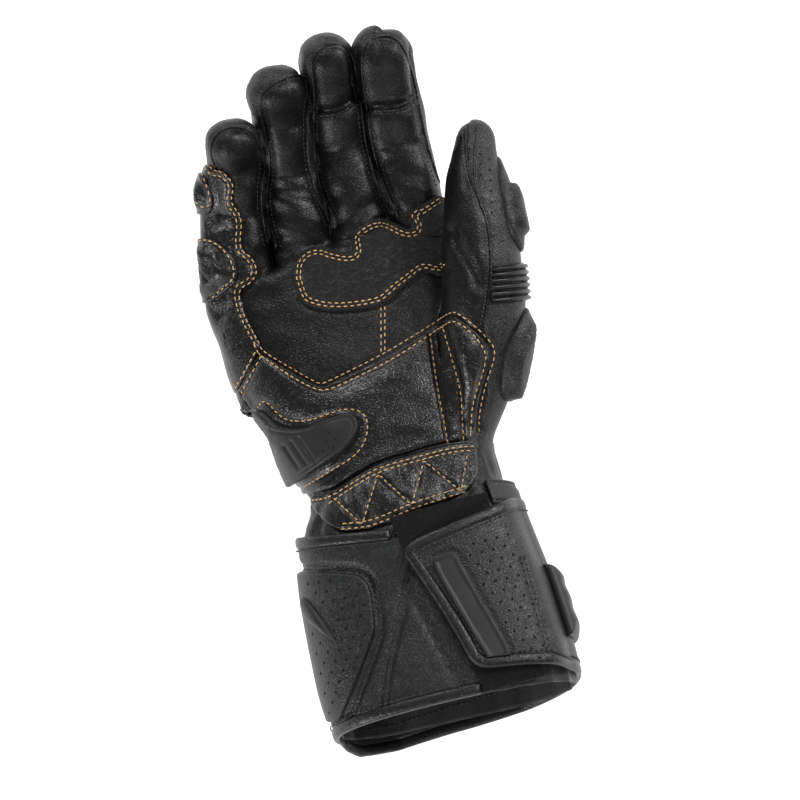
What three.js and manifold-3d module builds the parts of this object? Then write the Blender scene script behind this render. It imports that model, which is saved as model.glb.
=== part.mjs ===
// A right-hand leather motorcycle gauntlet glove, lying on its back with the palm up.
// Units are millimetres. +X is the thumb side, +Y the fingertips, +Z up out of the palm.
import * as THREE from "three";
import { ParametricGeometry } from "three/addons/geometries/ParametricGeometry.js";
import { mergeVertices } from "three/addons/utils/BufferGeometryUtils.js";
import Module from "manifold-3d";

const wasm = await Module();
wasm.setup();

// Driving dimensions
const LEATHER = 1.8; // wall of the hand, the fingers and the cuff
const GAP = 0.3; // clearance between two pieces
const SEAT = 0.6; // clearance under a plate whose facets don't follow those of the tube below
const OVERLAY = 1.6; // thickness of a panel sewn on top of another
const PAD = 3.4; // thickness of a padded overlay
const SLIDER = 3.4; // thickness of the moulded palm slider
const BINDING = 4.2; // width of the turned leather edge round the cuff
const BINDING_DEEP = 3; // thickness of that edge
const SLEEVE_FIT = 0.9; // how far the sleeve inside the cuff stays off its wall
const SEAM_HEIGHT = 22; // height of the seam between the palm leather and the back leather
const CREASE = 0.9; // how far a finger narrows at a joint
const SWELL = 0.5; // how far it fills between joints
const TAPER = 0.015; // share by which it narrows with each bone
const PATTERN_TILT = 14; // tilt of the pattern plane, in which the palm panels are drawn

const table = (names, rows) => rows.map((row) => Object.fromEntries(names.map((n, i) => [n, row[i]])));

// Sections of the gauntlet cuff's inner side, from the mouth to the wrist: centre, half width, half depth
const CUFF = table(["x", "y", "z", "wide", "deep"], [
  [-3, -150, 27, 49.6, 28],
  [-3.5, -125, 27, 50.9, 28],
  [-5.2, -100, 26.5, 50.2, 27.5],
  [-6.5, -75, 26.5, 47.5, 27],
  [-7.5, -46, 26, 44, 26.5],
]);
const CUFF_LENGTH = CUFF[CUFF.length - 1].y - CUFF[0].y;
const CUFF_RADIUS = 50; // near enough to turn an arc length into degrees

// The hand runs on into the cuff as a sleeve that fits inside it
function sleeveSection(y) {
  const above = CUFF.findIndex((section) => section.y > y);
  const [low, high] = [CUFF[above - 1], CUFF[above]];
  const mix = (key) => THREE.MathUtils.mapLinear(y, low.y, high.y, low[key], high[key]);
  const bottom = LEATHER + SLEEVE_FIT;
  const top = mix("z") + mix("deep") - SLEEVE_FIT;
  return { x: mix("x"), y, z: (top + bottom) / 2, wide: mix("wide") - SLEEVE_FIT, deep: (top - bottom) / 2 };
}

// Sections of the hand, from inside the cuff to the finger roots
const PALM = [-88, -66].map(sleeveSection).concat(table(["x", "y", "z", "wide", "deep"], [
  [-5.5, -52, 26.2, 41, 23.9],
  [-4.5, -40, 24.2, 38.5, 23],
  [-7.8, -20, 21.5, 43.2, 23],
  [-9.2, 2, 20.5, 50, 23],
  [-12, 26, 20, 53.5, 21.5],
  [-14, 46, 20, 54, 20],
  [-15.5, 57, 21, 52.5, 17.5],
]));
const PALM_END = 9; // rounding past the last section

// Sections of the thumb. Its palm side faces the fingers, so width runs upwards here and depth sideways
const THUMB = table(["x", "y", "z", "wide", "deep"], [
  [21, -26, 23, 14, 14],
  [33.5, -4, 31, 17, 15.5],
  [42, 20, 42, 15.5, 17.3],
  [46.6, 47, 48, 14.5, 16],
  [49.5, 72, 49.5, 12.5, 11.5],
  [53.2, 88.8, 48.5, 8.6, 8.4],
]);
const THUMB_END = 10.4;
const THUMB_ROLL = -66; // degrees that the thumb is turned, its palm side towards the fingers

// One row for each finger: knuckle centre, sideways drift to the tip, the three bone lengths with the pitch
// of each above the floor, half width and half depth, roll towards the thumb and rounding of the tip
const FINGERS = table(
  ["name", "x", "y", "z", "drift", "lengths", "pitches", "wide", "deep", "roll", "tip"],
  [
    ["index", 22.8, 60, 23, 1.5, [44, 25, 13], [13, 29, 44], 12.4, 11.8, 2, 11],
    ["middle", -2, 61, 23, 1.5, [46, 26, 13], [14, 31, 47], 12.5, 11.9, 8, 11],
    ["ring", -27.5, 58, 22, 3.5, [43, 25, 13], [16, 35, 54], 13, 11.6, 16, 11],
    ["little", -55.4, 51, 22, 9.2, [38, 21, 11], [18, 38, 56], 12.3, 11.2, 12, 10],
  ],
);
const FINGER_LEAD = 22; // length of a finger tube that runs back inside the hand
const FINGER_SQUARE = 2.25; // squareness of a finger's section: 2 is an ellipse
const PALM_SQUARE = 2.4;
const FRONT_SEAM = 22; // degrees from the side of a finger at which its front panel ends
const FRONT_END = 1.5; // how far over the tip the front panel runs: 1 is the last section, 2 the pole
const SEAM_CLEAR = 0.9; // degrees, about half a gap on a finger
const END_CLEAR = 0.015; // the same gap as a share of the rounded end
const TIP_PANEL = 0.74; // share of a finger at which the separate tip panel starts
const TIP_CLEAR = 0.0018; // half the gap there, as a share of the finger

const { degToRad: radians, radToDeg: toDegrees, lerp, clamp } = THREE.MathUtils;

const FINE = { slices: 10, stacks: 6, capStacks: 2 }; // facets of a finger and the thumb
const PALM_GRID = { slices: 16, stacks: 7, capStacks: 2 }; // facets of the hand
const PALM_LEAD = 8; // how far the hand's hollow is drawn out through its open end

// A limb is a smooth tube through its sections, closed by a rounded end.
function makeLimb(sections, { roll = 0, end, square = 2.3, floor = 0 }) {
  const centre = new THREE.CatmullRomCurve3(sections.map((s) => new THREE.Vector3(s.x, s.y, s.z)));
  const sizes = new THREE.CatmullRomCurve3(sections.map((s) => new THREE.Vector3(s.wide, s.deep, 0)));
  const side = new THREE.Vector3(Math.cos(radians(roll)), 0, -Math.sin(radians(roll)));
  return { centre, sizes, side, end, square, floor };
}

// The point at an angle round a limb, a share along it (1 to 2 is the rounded end) and a distance off its
// surface. What would sink below the floor lies flat on it.
function limbPoint(limb, degrees, along, offset, shrink = 1, lead = 0) {
  const share = clamp(along, 0, 1);
  const cap = radians(90 * clamp(along - 1, 0, 1));
  const forward = limb.centre.getTangent(share);
  const side = limb.side.clone().addScaledVector(forward, -limb.side.dot(forward)).normalize();
  const up = new THREE.Vector3().crossVectors(side, forward);
  const size = limb.sizes.getPoint(share);
  const angle = radians(degrees);
  const bulge = (value) => Math.sign(value) * Math.abs(value) ** (2 / limb.square);
  const scale = Math.cos(cap) * shrink;
  const point = limb.centre
    .getPoint(share)
    .addScaledVector(forward, (limb.end + offset) * Math.sin(cap) - lead)
    .addScaledVector(side, (size.x + offset) * bulge(Math.cos(angle)) * scale)
    .addScaledVector(up, (size.y + offset) * bulge(Math.sin(angle)) * scale);
  point.z = Math.max(point.z, limb.floor - offset, 0);
  return point;
}

// Merges a geometry's shared corners, drops collapsed triangles and turns it into a solid that faces out.
function solidFrom(geometry) {
  geometry.deleteAttribute("normal");
  geometry.deleteAttribute("uv");
  const merged = mergeVertices(geometry, 1e-4);
  const spots = merged.attributes.position.array;
  const faces = [];
  for (let i = 0; i < merged.index.count; i += 3) {
    const [a, b, c] = merged.index.array.slice(i, i + 3);
    if (a !== b && b !== c && a !== c) faces.push([a, b, c]);
  }
  const corner = (i) => new THREE.Vector3().fromArray(spots, 3 * i);
  const volume = faces.reduce((sum, [a, b, c]) => sum + corner(a).dot(corner(b).cross(corner(c))), 0);
  const facing = volume < 0 ? faces.map(([a, b, c]) => [a, c, b]) : faces;
  return new wasm.Manifold(
    new wasm.Mesh({ numProp: 3, vertProperties: spots, triVerts: new Uint32Array(facing.flat()) }),
  );
}

// The whole limb as a solid, grown or shrunk by an offset and drawn out backwards by a lead.
function limbSolid(limb, offset, { slices, stacks, capStacks = 3, lead = 0 }) {
  const rows = stacks + capStacks;
  const place = (u, v, target) => {
    const row = Math.round(v * (rows + 1)) - 1;
    const along = row <= stacks ? Math.max(row, 0) / stacks : 1 + (row - stacks) / capStacks;
    const shrink = row < 0 || row === rows ? 0 : 1;
    const behind = row <= 0 ? lead : 0;
    target.copy(limbPoint(limb, 360 * u, along, offset, shrink, behind));
  };
  return solidFrom(new ParametricGeometry(place, slices, rows + 1));
}

// A closed plate between two offsets of a surface, which is given as surface(u, v, offset).
function plate(surface, slices, stacks, inner, outer) {
  const ring = 2 * (slices + 1);
  const place = (a, b, target) => {
    const step = Math.round(a * ring) % ring;
    const row = Math.round(b * (stacks + 2)) - 1;
    const under = step > slices;
    const u = (under ? ring - 1 - step : step) / slices;
    const v = clamp(row / stacks, 0, 1);
    const folded = row < 0 || row > stacks;
    const low = inner(u, v);
    const high = outer(u, v);
    target.copy(surface(u, v, folded ? (low + high) / 2 : under ? low : high));
  };
  return solidFrom(new ParametricGeometry(place, ring, stacks + 2));
}

// A plate on a limb between two angles and two shares along it.
function limbPlate(limb, [from, to], [start, stop], inner, outer, slices, stacks) {
  const surface = (u, v, offset) => limbPoint(limb, lerp(from, to, u), lerp(start, stop, v), offset);
  return plate(surface, slices, stacks, inner, outer);
}
const fixed = (value) => () => value;

// A thick plate that cuts a tube along its side seams, with the same rows whatever its angles and its end.
function seamCutter(limb, [from, to], stop) {
  const rows = FINE.stacks + 2;
  const along = (v) => (v > 0.999 ? stop : (v * rows) / FINE.stacks);
  const surface = (u, v, offset) => limbPoint(limb, lerp(from, to, u), along(v), offset);
  return plate(surface, 3, rows, fixed(-LEATHER - 2), fixed(2.5));
}

// Panels of the palm are drawn flat in the pattern plane. A prism carries an outline down through the glove.
const drop = Math.tan(radians(PATTERN_TILT));
const patternToPart = new THREE.Matrix4().set(
  1, 0, 0, 0,
  0, 1 / Math.cos(radians(PATTERN_TILT)), -drop, 0,
  0, 0, 1, 0,
  0, 0, 0, 1,
);
function prism(corners, rounding, from = 6, to = FAR / 2) {
  const spots = corners.map(([x, y]) => new THREE.Vector2(x, y));
  const shape = new THREE.Shape();
  spots.forEach((corner, i) => {
    const before = spots[(i + spots.length - 1) % spots.length];
    const after = spots[(i + 1) % spots.length];
    const cut = (other) => Math.min(rounding, corner.distanceTo(other) * 0.45);
    const enter = corner.clone().add(before.clone().sub(corner).setLength(cut(before)));
    const leave = corner.clone().add(after.clone().sub(corner).setLength(cut(after)));
    if (i === 0) shape.moveTo(enter.x, enter.y);
    else shape.lineTo(enter.x, enter.y);
    shape.quadraticCurveTo(corner.x, corner.y, leave.x, leave.y);
  });
  const settings = { depth: to - from, bevelEnabled: false, curveSegments: 1 };
  const geometry = new THREE.ExtrudeGeometry(shape, settings);
  return solidFrom(geometry.translate(0, 0, from).applyMatrix4(patternToPart));
}

const FAR = 200; // beyond the glove in every direction
function block(low, high) {
  const [wide, long, deep] = high.map((value, axis) => value - low[axis]);
  const [x, y, z] = high.map((value, axis) => (value + low[axis]) / 2);
  return solidFrom(new THREE.BoxGeometry(wide, long, deep).translate(x, y, z));
}

// Finger sections worked out from the bone lengths: a joint is pinched, and each bone swells between joints.
function fingerSections(finger) {
  const total = finger.lengths.reduce((sum, length) => sum + length, 0);
  const first = radians(finger.pitches[0]) / 2;
  let [y, z, run] = [finger.y, finger.z, 0];
  const root = { x: finger.x, y, z, wide: finger.wide, deep: finger.deep };
  const behind = { y: y - FINGER_LEAD * Math.cos(first), z: z - FINGER_LEAD * Math.sin(first) };
  const sections = [{ ...root, ...behind }, root];
  finger.lengths.forEach((length, bone) => {
    const pitch = radians(finger.pitches[bone]);
    const last = bone === finger.lengths.length - 1;
    const taper = 1 - TAPER * (bone + 1);
    for (const [share, change] of last ? [[1, 0]] : [[0.5, SWELL], [1, -CREASE]]) {
      const step = run + length * share;
      sections.push({
        x: finger.x + (finger.drift * step) / total,
        y: y + length * share * Math.cos(pitch),
        z: z + length * share * Math.sin(pitch),
        wide: finger.wide * taper + change / 2,
        deep: finger.deep * taper + change,
      });
    }
    y += length * Math.cos(pitch);
    z += length * Math.sin(pitch);
    run += length;
  });
  return sections;
}

// The limbs
const palmLimb = makeLimb(PALM, { end: PALM_END, square: PALM_SQUARE });
const cuffLimb = makeLimb(CUFF, { end: 1, square: PALM_SQUARE, floor: LEATHER });
const thumbLimb = makeLimb(THUMB, { end: THUMB_END, roll: THUMB_ROLL });
const fingerLimbs = FINGERS.map((finger) =>
  makeLimb(fingerSections(finger), { end: finger.tip, roll: finger.roll, square: FINGER_SQUARE }),
);

const union = (solids) => solids.reduce((all, one) => all.add(one));
const palmOuter = (offset) => limbSolid(palmLimb, offset, PALM_GRID);
const thumbOuter = (offset) => limbSolid(thumbLimb, offset, FINE);
const fingerOuter = (i, offset) => limbSolid(fingerLimbs[i], offset, FINE);
const palmInner = limbSolid(palmLimb, -LEATHER, { ...PALM_GRID, lead: PALM_LEAD });
const thumbInner = limbSolid(thumbLimb, -LEATHER, FINE);
const fingerInners = FINGERS.map((_, i) => fingerOuter(i, -LEATHER));
const fingersAt = (offset) => union(FINGERS.map((_, i) => fingerOuter(i, offset)));
const handAt = (offset) => palmOuter(offset).add(fingersAt(offset)).add(thumbOuter(offset));

const glove = new THREE.Group();

const leather = { color: 0x1d1e20, roughness: 0.5, metalness: 0 };
const MATERIALS = {
  palm_leather: new THREE.MeshStandardMaterial(leather),
  matte_leather: new THREE.MeshStandardMaterial({ ...leather, color: 0x2b2c2e, roughness: 0.62 }),
  grip_suede: new THREE.MeshStandardMaterial({ color: 0x1b1c1c, roughness: 0.8 }),
  moulded_rubber: new THREE.MeshStandardMaterial({ color: 0x28292a, roughness: 0.55 }),
  stretch_ribs: new THREE.MeshStandardMaterial({ color: 0x1a1b1b, roughness: 0.45 }),
  hook_loop: new THREE.MeshStandardMaterial({ color: 0x101011, roughness: 0.95 }),
};

// Adds a solid to the glove as a named mesh. Its largest body is kept, so a cut leaves no crumbs.
function add(name, solid, material) {
  const bodies = solid.decompose().sort((a, b) => b.volume() - a.volume());
  const mesh = bodies[0].getMesh();
  const geometry = new THREE.BufferGeometry();
  geometry.setAttribute("position", new THREE.BufferAttribute(new Float32Array(mesh.vertProperties), 3));
  geometry.setIndex(new THREE.BufferAttribute(mesh.triVerts, 1));
  geometry.computeVertexNormals();
  const made = new THREE.Mesh(geometry, MATERIALS[material]);
  made.name = name;
  glove.add(made);
}

// Hand: one hollow shell, cut along the side seams into the palm leather and the back leather
function addHand() {
  const hollows = union([palmInner, ...fingerInners, thumbInner]);
  const shell = palmOuter(0).subtract(hollows).subtract(thumbOuter(GAP));
  const half = GAP / 2;
  const above = block([-FAR, -FAR, SEAM_HEIGHT + half], [FAR, FAR, FAR]);
  const below = block([-FAR, -FAR, -FAR], [FAR, FAR, SEAM_HEIGHT - half]);
  add("palm_leather", shell.intersect(above), "palm_leather");
  add("back_leather", shell.intersect(below), "matte_leather");
}

// Fingers: each tube is split along its side seams into a front panel and a back panel that turns over the
// tip. Two of them have a separate panel at the tip.
function addFingers() {
  const hand = palmOuter(GAP);
  FINGERS.forEach((finger, i) => {
    const limb = fingerLimbs[i];
    let shell = fingerOuter(i, 0).subtract(fingerInners[i]).subtract(hand).subtract(thumbOuter(GAP));
    if (i > 0) shell = shell.subtract(fingerOuter(i - 1, GAP));
    const seam = (extra) => [FRONT_SEAM - extra, 180 - FRONT_SEAM + extra];
    const front = shell.intersect(seamCutter(limb, seam(-SEAM_CLEAR), FRONT_END - END_CLEAR));
    const back = shell.subtract(seamCutter(limb, seam(SEAM_CLEAR), FRONT_END + END_CLEAR));
    add(finger.name + "_back", back, "matte_leather");
    if (finger.name === "index" || finger.name === "middle") {
      const [under, over] = [fixed(-LEATHER - 2), fixed(2.5)];
      const across = (start, stop) => limbPlate(limb, seam(8), [start, stop], under, over, 3, 8);
      const split = across(TIP_PANEL - TIP_CLEAR, TIP_PANEL + TIP_CLEAR);
      const far = across(TIP_PANEL, FRONT_END + 0.1);
      add(finger.name + "_front", front.subtract(split).subtract(far), "palm_leather");
      add(finger.name + "_tip_front", front.subtract(split).intersect(far), "palm_leather");
    } else {
      add(finger.name + "_front", front, "palm_leather");
    }
  });
}

// Thumb: palm-side panel, back panel, a ribbed stretch panel over its joint and two moulded guards
const THUMB_FRONT = [-20, 186]; // degrees round the thumb
const THUMB_CLEAR = 0.75; // degrees, about half a gap there
const STRETCH = { around: [262, 352], along: [0.49, 0.63], ribs: 6, height: 1.8 };
const TIP_GUARD = { around: [236, 326], along: [0.67, 0.98], height: 6.5 };
const KNUCKLE_GUARD = { around: [238, 336], along: [0.22, 0.47], height: 6 };

function addThumb() {
  const shell = thumbOuter(0).subtract(thumbInner).subtract(palmOuter(GAP));
  const [from, to] = THUMB_FRONT;
  const cut = (way) => {
    const extra = way * THUMB_CLEAR;
    return seamCutter(thumbLimb, [from - extra, to + extra], FRONT_END + way * END_CLEAR);
  };
  add("thumb_front", shell.intersect(cut(-1)), "palm_leather");
  add("thumb_back", shell.subtract(cut(1)), "matte_leather");
  for (const [name, part] of [["thumb_tip_guard", TIP_GUARD], ["thumb_knuckle_guard", KNUCKLE_GUARD]]) {
    const top = (u, v) => SEAT + 1 + (part.height - 1) * dome(u, v);
    const guard = limbPlate(thumbLimb, part.around, part.along, fixed(SEAT), top, 5, 4);
    add(name, guard.subtract(palmOuter(GAP)), "matte_leather");
  }
  const { around, along, ribs, height } = STRETCH;
  const ribbed = (u, v) => SEAT + 0.5 + height * Math.abs(Math.sin(Math.PI * ribs * v));
  const stretch = limbPlate(thumbLimb, around, along, fixed(SEAT), ribbed, 3, 2 * ribs);
  add("thumb_stretch_ribs", stretch, "stretch_ribs");
}

// Outlines of the panels sewn on the palm, in the pattern plane
const GRIP_PATCH = [
  [-32, 65], [-21, 70], [-12, 65], [-5, 63], [-5, 71], [0, 75], [8, 76], [16, 69], [22, 67.5],
  [21, 74], [26, 77.5], [32, 79], [35, 72], [33, 55], [23, 52], [16, 51], [1, 42], [-13, 42.5], [-24, 45],
  [-30, 49], [-32.5, 57],
];
const HEEL_PANEL = [
  [-85, -3], [-65, 18.6], [-54, 31], [-46, 24.6], [-30, 11.5], [29.5, 29], [37, 23], [42, 12], [36.5, -1],
  [26.8, -22.2], [18, -21.4], [0, -22.1], [-26, -26.9], [-38, -31.4], [-80, -34],
];
const WRIST_PANEL = [
  [-46, -32.2], [-38, -32.2], [-26, -27.6], [0, -22.8], [18, -22.1], [27, -22.9], [24.5, -38], [18, -44.5],
  [-4, -45.5], [-22, -49.5], [-36, -47.5],
];
const SLIDER_OUTLINE = [
  [-60, 6.5], [-56.5, 9.3], [-53, 5.4], [-50, 0], [-44, -3], [-35, -3.2], [-22, -1.6], [-18.5, -4.6],
  [-19, -9], [-23, -14], [-30, -17.6], [-40, -20.6], [-51, -25.5], [-56, -14],
];
const SIDE_PANEL = [
  [-80, 122], [-60, 115], [-50.5, 107], [-49.5, 102], [-53.5, 97], [-49, 88.5], [-54, 78], [-49, 70],
  [-50, 63], [-57, 60], [-57, 48], [-54, 36], [-55, 32.2], [-65.8, 19.6], [-85, -1],
];
const UPPER_SIDE_PAD = [[-80, 118], [-61, 111], [-57, 101], [-57.5, 93], [-61, 91], [-80, 92]];
const LOWER_SIDE_PAD = [[-80, 82], [-64, 80], [-56, 74], [-54.5, 66], [-60, 59], [-66, 55], [-80, 55]];

function addPalmPanels() {
  const base = handAt(GAP);
  const over = handAt(GAP + OVERLAY);
  const skin = over.subtract(base);
  const topped = handAt(2 * GAP + OVERLAY);
  add("palm_grip_patch", skin.intersect(prism(GRIP_PATCH, 3, 20)).subtract(thumbOuter(GAP)), "grip_suede");
  add("heel_panel", skin.intersect(prism(HEEL_PANEL, 3)), "palm_leather");
  add("wrist_panel", skin.intersect(prism(WRIST_PANEL, 2, 25)), "palm_leather");
  const slider = palmOuter(2 * GAP + OVERLAY + SLIDER).subtract(topped);
  add("palm_slider", slider.intersect(prism(SLIDER_OUTLINE, 3, 12)), "moulded_rubber");
  add("little_side_panel", skin.intersect(prism(SIDE_PANEL, 2, 8)), "palm_leather");
  const raised = handAt(2 * GAP + OVERLAY + PAD).subtract(topped);
  add("little_side_pad_upper", raised.intersect(prism(UPPER_SIDE_PAD, 3, 24)), "palm_leather");
  add("little_side_pad_lower", raised.intersect(prism(LOWER_SIDE_PAD, 4, 12)), "palm_leather");
}

// Strap round the thumb side of the wrist. Corners here and on the cuff are [degrees round, y].
const WRIST_STRAP = {
  left: { low: [42, -60.5], high: [42, -51] },
  right: { low: [-60, -57], high: [-60, -41] },
};
const STRAP_BULGE = 3;

// Cuff: a back wall that wraps from the little-finger side under the wrist to the thumb side, a front wall,
// and a closure flap that comes off the thumb side and lies over the front wall.
const CUFF_BACK = {
  left: { low: [198, -145], high: [198, -56] },
  right: { low: [388, -134], high: [388, -67] },
};
const CUFF_FRONT = {
  left: { low: [197, -138.5], high: [197, -55.7] },
  right: { low: [62, -137], high: [56, -76] },
};
const FLAP = {
  left: { low: [80, -128.5], high: [91, -77.5] },
  right: { low: [29.5, -133], high: [29.5, -67.5] },
};
const LOOP_PATCH = {
  left: { low: [80, -141], high: [96, -62] },
  right: { low: [50, -139], high: [50, -60] },
};
const SIDE_PAD = {
  left: { low: [190, -134], high: [190, -69] },
  right: { low: [140, -135], high: [117, -79] },
};
const SIDE_RIB = {
  left: { low: [172, -91], high: [172, -83] },
  right: { low: [139, -108], high: [139, -105] },
};
const CUFF_GUARD = {
  left: { low: [20, -125], high: [20, -93] },
  right: { low: [-38, -125], high: [-38, -93] },
};
const BADGE = {
  left: { low: [74, -127], high: [85.5, -84] },
  right: { low: [66, -125], high: [78, -83] },
};
const FLAP_LIFT = SEAT + LEATHER + 1.8; // height of the flap over the front wall
const FLAP_RISE = 11; // degrees over which the binding lifts off the side of the cuff
const SIDE_PAD_THICK = 1.2;
const GUARD_HEIGHT = 4;
const BADGE_THICK = 2;
const RIB_HEIGHT = 2;
const flapLift = (u) => FLAP_LIFT * clamp((1 - u) * 5, 0, 1);

// A plate between four corners on a limb whose sections are spread along y.
function cornerPlate(limb, along, { left, right }, inner, outer, slices, stacks) {
  const surface = (u, v, offset) => {
    const degrees = lerp(lerp(left.low[0], left.high[0], v), lerp(right.low[0], right.high[0], v), u);
    const y = lerp(lerp(left.low[1], right.low[1], u), lerp(left.high[1], right.high[1], u), v);
    return limbPoint(limb, degrees, along(y), offset);
  };
  return plate(surface, slices, stacks, inner, outer);
}
const alongCuff = (y) => (y - CUFF[0].y) / CUFF_LENGTH;
const cuffPlate = (...rest) => cornerPlate(cuffLimb, alongCuff, ...rest);
const dome = (u, v) => Math.min(1, 4 * Math.min(u, 1 - u), 4 * Math.min(v, 1 - v)) ** 0.6;

// Share along the hand at which a given y lies.
function alongHand(y) {
  let [low, high] = [0, 1];
  for (let step = 0; step < 30; step++) {
    const middle = (low + high) / 2;
    if (palmLimb.centre.getPoint(middle).y < y) low = middle;
    else high = middle;
  }
  return low;
}

// A turned edge along a route of corners on the cuff: each row is degrees, y and the direction in which the
// edge leaves the leather, with 0 towards the fingers and 90 towards larger degrees.
function binding(route, steps, lift = () => 0) {
  const rows = table(["degrees", "y", "turn"], route);
  const place = (u, v, offset) => {
    const spot = v * (rows.length - 1);
    const i = Math.min(Math.floor(spot), rows.length - 2);
    const at = (key) => lerp(rows[i][key], rows[i + 1][key], spot - i);
    const reach = lerp(GAP, BINDING, u);
    const turn = radians(at("turn"));
    const degrees = at("degrees") + toDegrees((reach * Math.sin(turn)) / CUFF_RADIUS);
    const y = at("y") + reach * Math.cos(turn);
    return limbPoint(cuffLimb, degrees, alongCuff(y), offset + lift(at("degrees")));
  };
  const middle = LEATHER / 2;
  const half = (u) => (BINDING_DEEP / 2) * (u < 0.01 || u > 0.99 ? 0.6 : 1);
  const inner = (u) => Math.max(middle - half(u), -0.2);
  const outer = (u) => middle + half(u);
  return plate(place, 2, steps * (rows.length - 1), inner, outer);
}

function addCuff() {
  add("cuff_back", cuffPlate(CUFF_BACK, fixed(0), fixed(LEATHER), 15, 3), "matte_leather");
  add("cuff_front", cuffPlate(CUFF_FRONT, fixed(0), fixed(LEATHER), 12, 3), "matte_leather");
  const onWall = LEATHER + SEAT;
  add("cuff_loop_patch", cuffPlate(LOOP_PATCH, fixed(onWall), fixed(onWall + 1), 4, 3), "hook_loop");
  const padTop = onWall + SIDE_PAD_THICK;
  add("cuff_side_pad", cuffPlate(SIDE_PAD, fixed(onWall), fixed(padTop), 6, 3), "matte_leather");
  const ribTop = (u, v) => padTop + GAP + 0.8 + RIB_HEIGHT * dome(u, v);
  add("cuff_side_rib", cuffPlate(SIDE_RIB, fixed(padTop + GAP), ribTop, 4, 3), "moulded_rubber");
  const guardTop = (u, v) => onWall + 1 + (GUARD_HEIGHT - 1) * dome(u, v);
  add("cuff_guard", cuffPlate(CUFF_GUARD, fixed(onWall), guardTop, 5, 4), "moulded_rubber");
  const flapTop = (u) => flapLift(u) + LEATHER;
  add("closure_flap", cuffPlate(FLAP, (u) => flapLift(u), flapTop, 6, 4), "matte_leather");
  const badgeBase = FLAP_LIFT + LEATHER + GAP;
  const badge = cuffPlate(BADGE, fixed(badgeBase), fixed(badgeBase + BADGE_THICK), 2, 4);
  add("closure_badge", badge, "moulded_rubber");
}

function addBindings() {
  const { left, right } = CUFF_FRONT;
  const beforeLoop = (end, loop) => {
    const stop = loop[0] + 1.5;
    const share = (stop - left[end][0]) / (right[end][0] - left[end][0]);
    return [stop, lerp(left[end][1], right[end][1], share)];
  };
  const top = [[...left.high, 0], [...beforeLoop("high", LOOP_PATCH.left.high), 0]];
  const hem = [[...left.low, 180], [...beforeLoop("low", LOOP_PATCH.left.low), 180]];
  add("cuff_top_binding", binding(top, 7), "palm_leather");
  add("cuff_front_hem_binding", binding(hem, 8), "palm_leather");
  const back = [[...CUFF_BACK.left.low, 180], [...CUFF_BACK.right.low, 180]];
  add("cuff_back_hem_binding", binding(back, 12), "palm_leather");
  const flap = [
    [...FLAP.right.high, 0], [...FLAP.left.high, 0], [...FLAP.left.high, 90],
    [...FLAP.left.low, 90], [...FLAP.left.low, 180], [...FLAP.right.low, 180],
  ];
  const lift = (degrees) => FLAP_LIFT * clamp((degrees - FLAP.right.high[0]) / FLAP_RISE, 0, 1);
  add("closure_binding", binding(flap, 3, lift), "palm_leather");
}

function addStrap() {
  const under = (u) => SEAT + STRAP_BULGE * Math.sin(Math.PI * clamp(1.35 * u - 0.1, 0, 1)) ** 2;
  const over = (u) => under(u) + LEATHER;
  const strap = cornerPlate(palmLimb, alongHand, WRIST_STRAP, under, over, 9, 3);
  add("wrist_strap", strap, "matte_leather");
}

addHand();
addFingers();
addThumb();
addPalmPanels();
addStrap();
addCuff();
addBindings();

// The glove stands on the origin with the middle of its box
const box = new THREE.Box3().setFromObject(glove);
const middle = box.getCenter(new THREE.Vector3());
glove.position.set(-middle.x, -middle.y, -box.min.z);

export default glove;
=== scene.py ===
"""A right-hand leather riding glove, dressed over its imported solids, lying palm up on a pale floor.

The hand is one smooth form, grown from the limbs that the solids are built on. Panels are cut out of it
along seams that are drawn in the pattern plane, which is the plane the camera looks at, and raised off it.
Lengths are in millimetres in the glove's own layout, and become metres when a piece is made.
"""

from __future__ import annotations

import logging
import math
from dataclasses import dataclass, field
from enum import Enum
from typing import Callable, Iterable, Sequence

import bpy
import numpy as np
import openvdb
from mathutils import Matrix, Vector
from mathutils.bvhtree import BVHTree


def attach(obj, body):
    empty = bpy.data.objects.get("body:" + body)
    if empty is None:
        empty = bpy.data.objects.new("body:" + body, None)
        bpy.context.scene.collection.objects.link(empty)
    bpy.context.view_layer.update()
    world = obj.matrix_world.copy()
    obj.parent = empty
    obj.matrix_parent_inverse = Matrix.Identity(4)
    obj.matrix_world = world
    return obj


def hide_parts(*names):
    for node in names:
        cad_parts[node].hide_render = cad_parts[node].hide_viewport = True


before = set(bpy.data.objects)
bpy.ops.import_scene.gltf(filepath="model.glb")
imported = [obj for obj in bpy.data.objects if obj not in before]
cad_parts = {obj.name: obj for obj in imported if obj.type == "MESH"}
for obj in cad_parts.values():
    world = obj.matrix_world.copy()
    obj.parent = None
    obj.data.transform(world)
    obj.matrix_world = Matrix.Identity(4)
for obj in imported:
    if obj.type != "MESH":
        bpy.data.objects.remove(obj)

log = logging.getLogger("riding_glove")
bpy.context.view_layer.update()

# Where the middle of the glove's box lies in the layout
LAYOUT_MIDDLE = np.array([-2.018, -1.138, 0.0])
MM = 0.001

# The pattern plane is tilted off the floor plane as the camera looks at it
VIEW_ELEVATION = math.radians(76.0)
VIEW_ROLL = math.radians(12.0)
PIXEL = 0.42  # millimetres of the pattern plane to a pixel
FRAME_PIXELS = 800
TOWARDS_VIEW = np.array([0.0, -math.cos(VIEW_ELEVATION), math.sin(VIEW_ELEVATION)])
PATTERN_UP = np.array([0.0, math.sin(VIEW_ELEVATION), math.cos(VIEW_ELEVATION)])

LEATHER = 1.8
GAP = 0.3
OVERLAY = 1.6
JUMP = 4.0  # a seam line is broken where its points lie further apart
VOXEL = 1.2

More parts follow.
